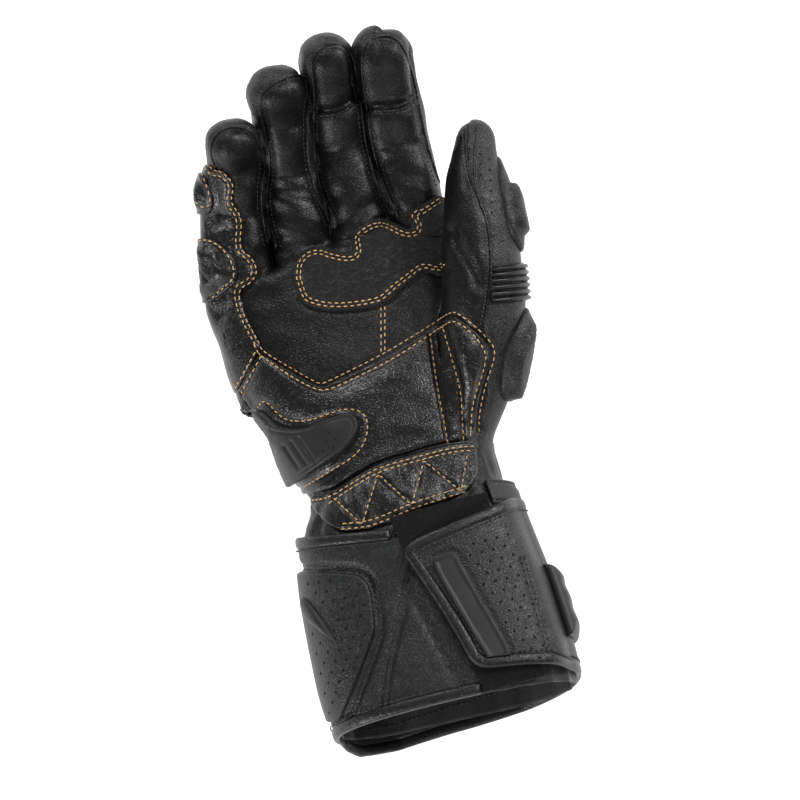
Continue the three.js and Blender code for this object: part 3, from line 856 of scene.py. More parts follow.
@dataclass
class Wardrobe:
    """All the materials, built once. Field: how uneven the leathers' grain is."""

    uneven: float = 0.05

    def __post_init__(self) -> None:
        """Builds the shared texture groups and the finishes."""
        self.pebbles, self.fuzz = pebble_group(), fuzz_group()
        self.grain = self.leather(
            "grain_leather", (0.0022, 0.0022, 0.0023), (0.009, 0.0092, 0.0095), 0.33, 0.06, 1000, 0.08, 0.12,
            specular=0.55,
        )
        self.supple = self.leather(
            "supple_leather", (0.0018, 0.0018, 0.002), (0.007, 0.0073, 0.0077), 0.4, 0.06, 1000, 0.075, 0.12,
            specular=0.36,
        )
        self.matte = self.leather(
            "matte_leather", (0.006, 0.0066, 0.0072), (0.0155, 0.0168, 0.0181), 0.47, 0.06, 900, 0.11, 0.15
        )
        self.edge = self.leather(
            "edge_leather", (0.003, 0.0033, 0.0036), (0.013, 0.014, 0.015), 0.38, 0.08, 1150, 0.07, 0.2
        )
        self.suede = self.fibrous(
            "grip_suede", (0.001, 0.0011, 0.001), (0.04, 0.042, 0.039), 0.8, 700, 2.0, 0.9
        )
        self.loop = self.fibrous(
            "hook_loop", (0.0003, 0.0003, 0.0003), (0.010, 0.0103, 0.0108), 1.0, 900, 1.3, 1.6
        )
        self.lining = self.fibrous(
            "black_lining", (0.004, 0.004, 0.0042), (0.035, 0.035, 0.036), 0.6, 1800, 1.0, 0.2, 0.2
        )
        self.gold = self.fibrous("gold_thread", (0.72, 0.40, 0.12), (1.0, 0.93, 0.70), 0.5, 2600, 2.0, 0.1)
        self.black = self.fibrous(
            "black_thread", (0.016, 0.016, 0.017), (0.075, 0.077, 0.08), 0.35, 5200, 2.0, 0.12
        )
        self.pale = self.fibrous("pale_thread", (0.12, 0.10, 0.07), (0.42, 0.38, 0.30), 0.5, 5200, 2.0, 0.1)
        # Punched holes: near-black painted shade of each hole's depth, over the dark lining that shows
        # through
        self.hole = self.fibrous(
            "punched_hole", (0.001, 0.001, 0.001), (0.004, 0.004, 0.004), 1.0, 900, 1.0, 0.02
        )
        self.rubber = self.moulding("moulded_rubber", (0.010, 0.0104, 0.0108), 0.5)
        self.ribbed = self.moulding("stretch_rubber", (0.004, 0.0042, 0.0045), 0.34, 0.03)

    def leather(self, name: str, dark: Tone, light: Tone, roughness: float, spread: float, pebbles: float,
                depth: float, crease: float, specular: float = 0.5) -> Material:
        """Returns a leather with pebbles to the metre and the strength of its creases."""
        numbers = {"Pebble": pebbles, "Crease": crease, "Uneven": self.uneven}
        finish = Finish(name, dark, light, roughness, depth, numbers, spread, "Tone", "Patch", specular)
        return finish.build(self.pebbles)

    def fibrous(self, name: str, dark: Tone, light: Tone, roughness: float, fibres: float, stretch: float,
                depth: float, sheen: float = 0.0) -> Material:
        """Returns a suede, loop or thread with fibres to the metre and how long they are drawn."""
        numbers = {"Fibre": fibres, "Stretch": stretch}
        return Finish(name, dark, light, roughness, depth, numbers, sheen=sheen).build(self.fuzz)

    def moulding(self, name: str, tone: Tone, roughness: float, depth: float = 0.05) -> Material:
        """Returns a moulded rubber or plastic with a faint spark-eroded texture."""
        dark, light = (tuple(share * value for value in tone) for share in (0.8, 1.3))
        numbers = {"Fibre": 2600.0, "Stretch": 1.0}
        return Finish(name, dark, light, roughness, depth, numbers, 0.2, "Height").build(self.fuzz)


def repeating_tree(name: str, **numbers: float) -> Shader:
    """Starts a Geometry Nodes tree that repeats a shape, with numbers as further inputs."""
    given = {"Geometry": "Geometry", "Shape": "Object", "Material": "Material", **numbers}
    return Shader.group(name, "GeometryNodeTree", given, {"Geometry": "Geometry"})


def place_shapes(b: Shader, points: Socket, along: Socket) -> Tree:
    """Ends a tree: puts a shape on each point, upright on the surface and turned along a direction.

    Args:
        b: The tree's builder.
        points: The points that carry the shapes.
        along: The direction of the shape's length.

    Returns:
        The tree.
    """
    up = b.add("GeometryNodeInputNamedAttribute", data_type="FLOAT_VECTOR", Name="up").outputs["Attribute"]
    turn = b.add("FunctionNodeAxesToRotation", up, along, primary_axis="Z", secondary_axis="X").outputs[0]
    shape = b.add("GeometryNodeObjectInfo", Object=b.given["Shape"]).outputs["Geometry"]
    spread = b.add(
        "GeometryNodeInstanceOnPoints", Points=points, Instance=shape, Rotation=turn, Scale=b.given["Size"]
    )
    real = b.add("GeometryNodeRealizeInstances", Geometry=spread.outputs[0])
    paint = b.add("GeometryNodeSetMaterial", Geometry=real.outputs[0], Material=b.given["Material"])
    return b.keep(Geometry=paint.outputs[0])


def stitch_tree() -> Tree:
    """Builds the tree that sews stitches of one length along seam lines."""
    b = repeating_tree("sewn_row", Pitch=2.9 * MM, Size=1.0)
    line = b.add("GeometryNodeMeshToCurve", Mesh=b.given["Geometry"]).outputs[0]
    spaced = b.add("GeometryNodeResampleCurve", mode="LENGTH", Curve=line, Length=b.given["Pitch"])
    return place_shapes(b, spaced.outputs[0], b.add("GeometryNodeInputTangent").outputs[0])


def dot_tree() -> Tree:
    """Builds the tree that puts one shape on each given spot, such as a punched hole."""
    b = repeating_tree("punched_spots", Size=1.0)
    ahead = b.add("FunctionNodeInputVector", vector=(0.0, 1.0, 0.0))
    return place_shapes(b, b.given["Geometry"], ahead.outputs[0])


def grow(name: str, tree: Tree, lines: Sequence[Line], shape: Object,
         material: Material, **numbers: float) -> Object:
    """Runs a tree on lines or single spots and keeps the result as a plain mesh.

    Args:
        name: The new piece's name.
        tree: The tree to run.
        lines: The lines that it runs on.
        shape: What is repeated.
        material: What it is made of.
        numbers: Values of the tree's number inputs.

    Returns:
        The new object.
    """
    points, ups = (np.vstack([line[k] for line in lines]) for k in range(2))
    edges, start = [], 0
    for line, _ in lines:
        near = np.linalg.norm(np.diff(line, axis=0), axis=1) < JUMP
        edges += [(start + i, start + i + 1) for i in np.flatnonzero(near)]
        start += len(line)
    seed = bpy.data.meshes.new(name + "_lines")
    seed.from_pydata(((points - LAYOUT_MIDDLE) * MM).tolist(), edges, [])
    attribute = seed.attributes.new("up", "FLOAT_VECTOR", "POINT")
    attribute.data.foreach_set("vector", ups.astype(np.float32).ravel())
    carrier = linked(name + "_lines", seed)
    modifier = carrier.modifiers.new("grow", "NODES")
    modifier.node_group = tree
    given = {"Shape": shape, "Material": material, **numbers}
    for item in tree.interface.items_tree:
        if item.in_out == "INPUT" and item.name in given:
            modifier[item.identifier] = given[item.name]
    graph = bpy.context.evaluated_depsgraph_get()
    mesh = bpy.data.meshes.new_from_object(carrier.evaluated_get(graph))
    mesh.name = name
    bpy.data.objects.remove(carrier)
    mesh.materials.clear()
    mesh.materials.append(material)
    mesh.polygons.foreach_set("use_smooth", np.ones(len(mesh.polygons), bool))
    return linked(name, mesh)


def shape_object(name: str, rings: Sequence[Array]) -> Object:
    """Makes a hidden shape of rings of points, closed at both ends, for the trees to repeat."""
    sides = len(rings[0])
    verts = [tuple(point * MM) for ring in rings for point in ring]
    faces = []
    for row in range(len(rings) - 1):
        for k in range(sides):
            a, b = row * sides + k, row * sides + (k + 1) % sides
            faces.append((a, b, b + sides, a + sides))
    faces.append(tuple(reversed(range(sides))))
    faces.append(tuple(range((len(rings) - 1) * sides, len(rings) * sides)))
    mesh = bpy.data.meshes.new(name)
    mesh.from_pydata(verts, [], faces)
    return bpy.data.objects.new(name, mesh)


def stitch_shape(length: float = 2.0, thick: float = 0.29) -> Object:
    """Makes one stitch: a short arched thread whose ends dive into the leather."""
    rings = []
    for share in (-1.0, -0.75, 0.0, 0.75, 1.0):
        radius = thick * (1.0 - 0.55 * abs(share) ** 3)
        height = 0.12 - 0.42 * share**4
        angles = np.linspace(0.0, 2 * np.pi, 6, endpoint=False)
        across, upward = radius * np.cos(angles), height + radius * np.sin(angles)
        rings.append(np.stack([np.full(6, share * length / 2), across, upward], 1))
    return shape_object("stitch_shape", rings)


def hole_shape(radius: float = 0.5) -> Object:
    """Makes one punched hole: a thin dish, just proud of the leather, dark with the hole's painted shade over
    the lining.
    """
    angles = np.linspace(0.0, 2 * np.pi, 8, endpoint=False)
    across, ahead = radius * np.cos(angles), radius * np.sin(angles)
    return shape_object("hole_shape", [np.stack([across, ahead, np.full(8, z)], 1) for z in (-0.1, 0.06)])


@dataclass
class Tailor:
    """Finishes pieces, finds places on their surfaces and sews or punches there.

    Fields: the materials, how far apart a seam line's points lie, how far the stitches sit above the surface,
    the distance from which the surfaces are looked at, and the surfaces so far.
    """

    wardrobe: Wardrobe
    step: float = 1.2
    lift: float = 0.05
    reach: float = 300.0
    trees: list[BVHTree] = field(default_factory=list)

    def __post_init__(self) -> None:
        """Makes the shapes and the trees once."""
        self.stitch, self.sewing = stitch_shape(), stitch_tree()
        self.hole, self.punching = hole_shape(), dot_tree()

    def finish(self, name: str, skin: Skin, material: Material, slot: Slot, *nodes: str,
               wall: float = 1.2) -> Object:
        """Closes a panel, makes its object, fits it to the frame and lets seams and holes land on it.

        Args:
            name: The piece's name.
            skin: The panel.
            material: What it is made of.
            slot: The record's slot for its finish; not used.
            nodes: The solids that it stands for.
            wall: How thick it is; a panel that is closed already has none.

        Returns:
            The piece.
        """
        self.trees.append(skin.tree())
        return dress(make_object(name, skin.closed(wall) if wall else skin, material), slot, *nodes)

    def drop(self, spots: Array) -> Line:
        """Drops spots of the pattern plane on the surfaces, along the view.

        Args:
            spots: Their coordinates in the pattern plane.

        Returns:
            The points where they land and the directions off the surface there.
        """
        points, ups = [], []
        view = Vector(TOWARDS_VIEW)
        for x, y in spots:
            origin = Vector((x, *(PATTERN_UP[1:] * y))) + view * self.reach
            casts = [tree.ray_cast(origin, -view) for tree in self.trees]
            hits = [hit for hit in casts if hit[0] is not None]
            if hits:
                point, normal, *_ = min(hits, key=lambda hit: hit[3])
                points.append(tuple(point))
                ups.append(tuple(normal))
        return np.array(points).reshape(-1, 3), np.array(ups).reshape(-1, 3)

    def row(self, corners: Points, rounds: int = 2) -> Line:
        """Returns a seam line on the surfaces for a path in the pattern plane."""
        path = smooth_path(corners, rounds=rounds)
        run = run_along(path)
        steps = np.linspace(0.0, run[-1], max(int(run[-1] / self.step), 2))
        spots = np.stack([np.interp(steps, run, path[:, k]) for k in range(2)], 1)
        return self.drop(spots)

    def rows(self, *paths: Points) -> list[Line]:
        """Returns the seam lines for several paths."""
        return [self.row(path) for path in paths]

    def sew(self, name: str, lines: Sequence[Line], thread: Material, pitch: float,
            size: float) -> Object:
        """Sews rows of stitches.

        Args:
            name: The piece's name.
            lines: The seam lines.
            thread: The thread's material.
            pitch: The distance from stitch to stitch.
            size: The stitches' size against the usual one.

        Returns:
            The stitches as one object.
        """
        laid = [(points + ups * self.lift, ups) for points, ups in lines if len(points) > 1]
        return grow(name, self.sewing, laid, self.stitch, thread, Pitch=pitch * MM, Size=size)

    def punch(self, name: str, spots: Array, size: float) -> Object:
        """Punches a hole at each spot of the pattern plane."""
        points, ups = self.drop(spots)
        lines = [(points[k: k + 1], ups[k: k + 1]) for k in range(len(points))]
        return grow(name, self.punching, lines, self.hole, self.wardrobe.hole, Size=size)


def hole_grid(outline: Array, pitch: float, turn: float, margin: float) -> Array:
    """Returns spots of a staggered grid inside an outline of the pattern plane.

    Args:
        outline: The closed outline.
        pitch: The distance between spots in a row.
        turn: The direction of the rows in degrees.
        margin: How far the spots stay off the outline.

    Returns:
        The spots.
    """
    count = 60
    i, j = np.meshgrid(np.arange(-count, count), np.arange(-count, count))
    x = (i + 0.5 * (j % 2)) * pitch
    y = j * pitch * 0.87
    across, ahead = math.cos(math.radians(turn)), math.sin(math.radians(turn))
    spots = np.stack([x * across - y * ahead, x * ahead + y * across], -1)
    spots = spots.reshape(-1, 2) + outline.mean(axis=0)
    return spots[inside_distance(spots, outline) > margin]


def soft_edge(depth: Array, height: float, rounding: float, start: float = -0.25) -> Array:
    """Returns the height of a panel that rolls down to its edge.

    Args:
        depth: How far inside its outline each point lies.
        height: The panel's height.
        rounding: How far in the edge rolls.
        start: The height at the very edge.

    Returns:
        The height at each point.
    """
    share = np.clip(depth / rounding, 0.0, 1.0)
    return start + (height - start) * np.sqrt(np.clip(1.0 - (1.0 - share) ** 2, 0.0, 1.0))


# Seams and outlines in the pattern plane, in millimetres
FINGER_SEAMS = {
    "index": [
        (15.4, 75.5), (12.4, 88), (10.7, 104), (11.7, 120), (12.5, 133), (13.5, 142), (15.4, 147.3),
        (18.6, 150.2),
        (23.6, 151.4), (28.6, 149.9), (32.2, 145.6), (34.3, 131.5), (33.5, 116), (33.9, 99.5), (35.6, 86),
    ],
    "middle": [
        (-10.6, 80), (-13.2, 88), (-14.8, 99), (-13.4, 112.4), (-10.8, 125), (-8, 134), (-7.4, 145.8),
        (-4, 149.7),
        (0.8, 151.9), (5.7, 151.6), (9.2, 148.6), (10.9, 143.6), (10.1, 133), (9.2, 120), (8, 104),
        (9.5, 88),
        (12.7, 76.5),
    ],
    "ring": [
        (-37.4, 74), (-38.6, 88), (-37, 98), (-32.5, 108.8), (-32.2, 118), (-32, 134.5), (-29.3, 138.3),
        (-23.8, 140.4), (-17.7, 142.2), (-11.9, 142.3), (-8.6, 139.8), (-9.4, 136), (-13.4, 125),
        (-15.8, 113),
        (-17.3, 101), (-15.6, 88), (-13.4, 79),
    ],
    "little": [
        (-55.6, 112), (-56.5, 116), (-55.5, 120.6), (-53.1, 124), (-49.1, 126), (-44, 126.4),
        (-39.3, 124.7),
        (-36, 121.4), (-34.8, 115), (-35.3, 108), (-39, 98), (-41.2, 87), (-40.8, 76),
    ],
}
WEBS = {"index": 15.0, "middle": 13.0, "ring": 12.0, "little": 12.0}
TIP_FOLDS = {
    "index": [(8, 121.6), (13.6, 121.3), (19.8, 120), (26.1, 119.3), (29.9, 120.5), (36, 122.6)],
    "middle": [(-13.5, 127.5), (-10, 124.5), (-5.3, 123.1), (0.4, 123), (5.1, 124.9), (11, 127.5)],
}
GRIP_OUTLINE = [
    (-33.5, 59), (-32.5, 65.5), (-27, 70.5), (-20, 71), (-14, 67.5), (-9, 65), (-6.5, 66), (-6.3, 71),
    (-4, 74),
    (1, 76.5), (8, 77.2), (13, 74), (17.5, 70), (20.3, 70), (18.8, 74), (20.5, 78), (25, 78), (30, 80.3),
    (34.5, 81.5),
    (37, 78), (36.5, 60), (33, 50), (27, 47), (23.5, 50), (20, 50.3), (11, 45.7), (5.5, 42), (0.5, 40),
    (-13, 40.7),
    (-23, 42.8), (-30.5, 46.5), (-33, 51),
]
GRIP_TOP = [
    (-31.7, 59.1), (-30.4, 64.9), (-26.2, 68.7), (-20.5, 69.2), (-16, 66.1), (-10.5, 63.6), (-6.8, 62.9),
    (-4.3, 64.5),
    (-4.5, 69.7), (-3.6, 72), (2.1, 74.7), (7.8, 75.2), (11.2, 72.8), (16.6, 68.2), (21.7, 67.5),
    (22.9, 71.1),
    (20.9, 74.1), (21.8, 76.5), (25.6, 76.1), (30.8, 78.5), (33, 79.4),
]
GRIP_BOTTOM = [
    (-31.7, 59.1), (-30.9, 50.4), (-29.2, 48.3), (-22.3, 44.7), (-12.8, 42.7), (0.3, 42), (4.7, 44.5),
    (9.6, 47.3),
    (14.8, 49.7), (20.2, 52.4), (23, 51.9), (27, 49.5), (29.6, 51.2),
]
HEEL_TOP = [
    (-85, -2), (-65, 18.6), (-54.2, 31.4), (-52.6, 31), (-46.6, 25.4), (-35.1, 15), (-31.1, 11.7),
    (-25.3, 13), (-3.1, 18.6),
    (17.9, 26), (24.9, 28.8), (28.5, 29.8), (30.6, 28.9), (35.8, 22),
]
HEEL_RIGHT = [
    (39, 17.6), (41.2, 13.5), (41.2, 10), (39, 6), (36.3, 1.4), (34, -2.6), (31, -9), (29, -15),
    (27, -22.4),
]
HEEL_BOTTOM = [
    (18, -21.4), (9.5, -21), (0, -21.9), (-14.5, -22.7), (-26, -26.9), (-38, -31), (-50, -29.5), (-85, -36),
]
HEEL_OUTLINE = HEEL_TOP + HEEL_RIGHT + HEEL_BOTTOM
HEEL_OUTER_ROW = [
    (-53.1, 36), (-52.6, 32.8), (-46.8, 26.9), (-35.1, 16.5), (-31.1, 13.1), (-25.3, 14.4), (-3.1, 20),
    (17.9, 27.5), (24.9, 30.3),
    (28.5, 31.3), (30.9, 30.4), (37.1, 23), (40, 18.5), (42.5, 14.2), (42.6, 10.7), (40.4, 6), (37.7, 1.4),
    (35.6, -2), (32.4, -9), (30.3, -15), (29.5, -19),
]
HEEL_INNER_ROW = [
    (-54.8, 35), (-54.2, 31.2), (-49, 25.8), (-41.6, 18.4), (-36.5, 13.8), (-30.4, 9.9), (-19.2, 12.1),
    (1.7, 17.5), (17.3, 23.9), (24.3, 26.7), (27.6, 27.6),
    (29.4, 26.8), (32.2, 24.4), (34.8, 21), (37.2, 16.6), (39, 10.9), (37.2, 6.6), (34.6, 1.5),
    (31.7, -2.8),
    (28.8, -8.7), (27, -15), (25.6, -20),
]
THENAR_A = [(18.1, 24), (17.1, 13.6), (16.3, 0), (16, -11.6), (15.7, -20.9)]
THENAR_B = [(23.7, 26), (24.3, 17.2), (24.8, 9.8), (25.4, 0.2), (24.6, -7.4), (22.4, -21)]
# Puffed lobes of the heel: middle, spread and height
HEEL_LOBES = [
    ((30.8, 7.0), (4.0, 15.0), 3.1), ((20.6, 4.0), (3.2, 20.0), 2.2), ((-4.0, 2.0), (20.0, 13.0), 1.0),
    ((-40.0, 14.0), (14.0, 9.0), 0.8),
]
SLIDER_OUTLINE = [
    (-80, 2.5), (-60.5, 7), (-56.8, 9.3), (-54, 5.5), (-51, 1), (-47, -1.8), (-40, -3.4), (-33.6, -2.4),
    (-25.6, -1.2),
    (-20.6, -1.8), (-18.2, -5.2), (-19.2, -10.3), (-23.4, -15.2), (-33.3, -19.6), (-42.2, -23),
    (-51.5, -25.5),
    (-80, -26),
]
SLIDER_ROW = [
    (-58.9, 9.5), (-55.9, 11.9), (-53.3, 9), (-50.6, 4), (-46.4, 0.8), (-39.3, -0.6), (-33.1, 0.2),
    (-23.5, 1.3),
    (-17.6, -0.5), (-14.8, -4.5), (-15.8, -9.9), (-18.7, -15.2), (-24, -19.2), (-33.7, -22.5),
    (-42.7, -25.8),
    (-50, -28),
]
SLIDER_VENTS = [
    (-31.6, -7), (-29.6, -10), (-33.6, -10.5), (-31.2, -13.5), (-35.6, -13.9), (-57.1, 1.8), (-55.9, -0.2),
]
SLIDER_GROOVES = [
    [(-51.5, -8.5), (-47.5, -18.5)], [(-48, -7.6), (-44, -17.6)], [(-44.5, -6.8), (-40.5, -16.6)],
]
WRIST_OUTLINE = [
    (-47, -32.4), (-38, -32.4), (-26, -27.9), (-14.5, -23.9), (0, -23.2), (9.5, -22.4), (18, -22.4),
    (26.8, -23.4),
    (25.8, -33), (24, -39), (18.5, -44), (-4, -45.9), (-22, -50), (-37.5, -48.3),
]
WRIST_TOP_ROW = [
    (-44, -33.2), (-37.6, -33.6), (-26, -29.2), (-14.5, -25.3), (0, -24.6), (9.5, -24), (18.9, -24),
    (25.2, -25),
]
WRIST_SECOND_ROW = [
    (-37, -35.4), (-26, -30.9), (-14.5, -27), (0, -26.2), (9.5, -25.6), (18.6, -25.6), (23.4, -26.4),
]
WRIST_BOTTOM_ROW = [(17.4, -42.6), (-3.8, -44.4), (-22.3, -48.5), (-34, -47)]
WRIST_LIFTED_ROW = [(18.4, -40.4), (-3.4, -42.2), (-21.9, -46.3), (-33, -45)]
ZIGZAG = [
    (-34.7, -34.6), (-25.9, -46.8), (-15.3, -28), (-4.2, -43.2), (4.4, -26.6), (16.7, -42), (22.1, -29),
]
SIDE_PANEL_EDGE = [
    (-60.7, 117), (-57.2, 111), (-52.6, 110), (-48.6, 103), (-52, 96), (-48, 89), (-52.6, 76),
    (-47.4, 71.8),
    (-46.4, 65), (-50.6, 60.6), (-56.2, 59.6), (-56.8, 50.5), (-52.4, 36), (-53.9, 32.6),
]
SIDE_PANEL_OUTLINE = [(-85, 122)] + SIDE_PANEL_EDGE[:-1] + [(-53.4, 31.8), (-64.5, 18.6), (-85, -2.6)]
SIDE_ROWS = [
    [(-61.5, 115), (-58, 108.6), (-54, 107.8), (-50.9, 102.4), (-54.6, 96), (-50.6, 89), (-55.1, 76),
    (-50.2, 71.2),
     (-49.3, 65.6), (-52.5, 62.6), (-58.8, 61.4), (-59.2, 50.6), (-54.8, 36)],
    [(-60.3, 116.4), (-56.6, 110.2), (-52.9, 109.2), (-49.2, 102.6), (-52.8, 96), (-48.8, 89), (-53.3, 76),
     (-48.5, 71.6), (-47.4, 65.2), (-51.4, 61.1), (-57.1, 60), (-57.6, 50.4), (-53.1, 36)],
]
UPPER_PAD = [
    (-85, 117), (-63.5, 117), (-60.5, 111), (-58.6, 104), (-58.2, 98), (-61, 94), (-66, 94), (-85, 98),
]
UPPER_PAD_ROW = [(-63, 115), (-61.4, 109), (-60.2, 100), (-61.4, 96.4), (-64.4, 96.2), (-66.5, 99)]
LOWER_PAD = [
    (-85, 85.5), (-66, 85), (-59, 80), (-55, 72.5), (-55.3, 64), (-60.5, 60.2), (-68, 56.5), (-85, 57),
]
LOWER_PAD_ROW = [
    (-69.5, 83.6), (-65.2, 83), (-60, 78.4), (-56.9, 71.8), (-57.2, 65), (-61.5, 62.3), (-67.8, 59),
]
SHORT_ROWS = [[(-53.4, 29.6), (-64.4, 17)], [(-55.8, 31.6), (-66.4, 19.6)]]
PALM_ROWS_OF_THREAD = [[(0.1, 39), (-3.4, 22)], [(1.8, 39), (-1.7, 22.4)]]
THUMB_SEAM = [
    (53.5, 110), (50.4, 104.7), (49, 98), (47.8, 88.6), (47.9, 83.8), (49.3, 75.4), (50.9, 65.4),
    (49.6, 52.8),
    (47.5, 41.4), (43.7, 31.5), (40.4, 23.6), (39, 8), (36, -6), (30, -20),
]
THUMB_RIBS = [
    (47.4, 46.2), (50, 46), (57, 45.6), (66, 45.6), (90, 44), (90, 28), (56.8, 29.4), (48, 31), (44.6, 31.6),
    (45.6, 38),
]
THUMB_DENT = [(35.5, 64), (37.6, 55), (40.5, 47), (41.5, 40)]
THUMB_STRIP = [(56.6, 108), (55, 103.5), (53.1, 98.2), (49.9, 87.1), (49.1, 79.8), (49.6, 74)]
TIP_GUARD = [
    (62.2, 96), (60, 85), (59.4, 77.5), (58.7, 69.1), (58.9, 59.4), (61.4, 51.4), (63.4, 47), (90, 46),
    (90, 96),
]
TIP_GUARD_STEP = [(62.9, 79), (62, 69.5), (62.3, 59.8), (65.3, 54), (90, 54), (90, 79)]
KNUCKLE_GUARD = [
    (61.6, 29.6), (56, 23), (50.2, 15.6), (45, 7.8), (41.4, -6), (43, -11.4), (90, -12), (90, 29.6),
]
KNUCKLE_ROW = [(60, 18.5), (54.5, 10.5), (48.5, 1)]
SIDE_PAD = [
    (-75, -60.4), (-56, -60.7), (-33.5, -65), (-28.4, -69), (-27.5, -75.6), (-28.6, -87), (-30.2, -92.7),
    (-48.6, -120.6), (-51.6, -124), (-57, -123.6), (-75, -121),
]
SIDE_PAD_ROWS = [
    [(-57, -59.8), (-33, -64), (-27.4, -68.6), (-26.4, -75.6), (-27.6, -87.4), (-29.3, -93.2),
    (-47.8, -121.2)],
    [(-57, -58.2), (-32.4, -62.4), (-26, -67.8), (-24.8, -75.6), (-26, -87.6), (-27.8, -94), (-46.2, -122)],
]
RIB_OUTLINE = [(-57.4, -70.4), (-53.4, -73), (-45.6, -91.4), (-46.4, -92), (-52, -85.8), (-57.6, -79)]
VEE_ROWS = [
    [(-8.6, -67), (-14, -80), (-24, -100), (-30, -116), (-33, -131)],
    [(-12.4, -72), (-17.6, -83), (-27.2, -102), (-33.4, -118), (-36.4, -131)],
    [(-9.4, -80), (-6.5, -92), (-1.5, -108), (1.4, -121)],
    [(-11.2, -80.5), (-8.3, -92.5), (-3.3, -108.6), (-0.4, -121.6)],
]
BADGE = [
    (-0.9, -70.3), (-0.6, -66.8), (1.6, -65.6), (7.6, -65), (9.6, -67), (10.9, -73.4), (21.9, -106),
    (22, -111),
    (19.6, -113.2), (14.6, -111.6), (12.3, -109.3),
]
BACK_HEM = [
    (197, -138.7), (203, -141.4), (214, -143.8), (240, -143.4), (300, -138.6), (360, -134), (388, -132.8),
]
FLAP_SEAM = [[(36.4, -74), (39.6, -121)], [(34.9, -74.2), (38.1, -121.2)]]
FLAP_HOLES = [(11.5, -62.5), (33, -58.5), (36, -74), (39.5, -119), (25, -117.5), (22.8, -101)]
# Perforated areas of the hand: outline, pitch, turn of the rows and margin
HAND_HOLES = [
    ([(49, 100), (51, 88), (52.5, 72), (53, 60), (51, 52), (57, 51), (57, 62), (58, 76), (60, 92)],
     4.6, 80, 0.8),
    ([(45.5, 27.5), (58, 25.5), (50, 15), (45, 7), (42, -4), (39.5, 6), (42, 20)], 4.4, 70, 0.6),
    ([(-38.5, 137), (-34, 140), (-33, 125), (-36, 118)], 3.4, 75, 0.2),
]
# Bound edges of the cuff: degrees, y and the direction in which the band leaves the leather
TOP_EDGE = [(197, -55.7, 0), (97.5, -55.7 - (197 - 97.5) / (197 - 56) * (76 - 55.7), 0)]
FRONT_HEM = [(197, -138.5, 180), (81.5, -138.5 + (197 - 81.5) / (197 - 62) * 1.5, 180)]
FLAP_EDGE = [
    (6, -66, 0), (29.5, -67, 0), (87, -76.9, 0), (90.4, -77.9, 30), (91, -80, 85), (80.4, -126.5, 95),
    (79, -128.2, 150), (76, -129.1, 180), (29.5, -133, 180), (6, -134.3, 180),
]


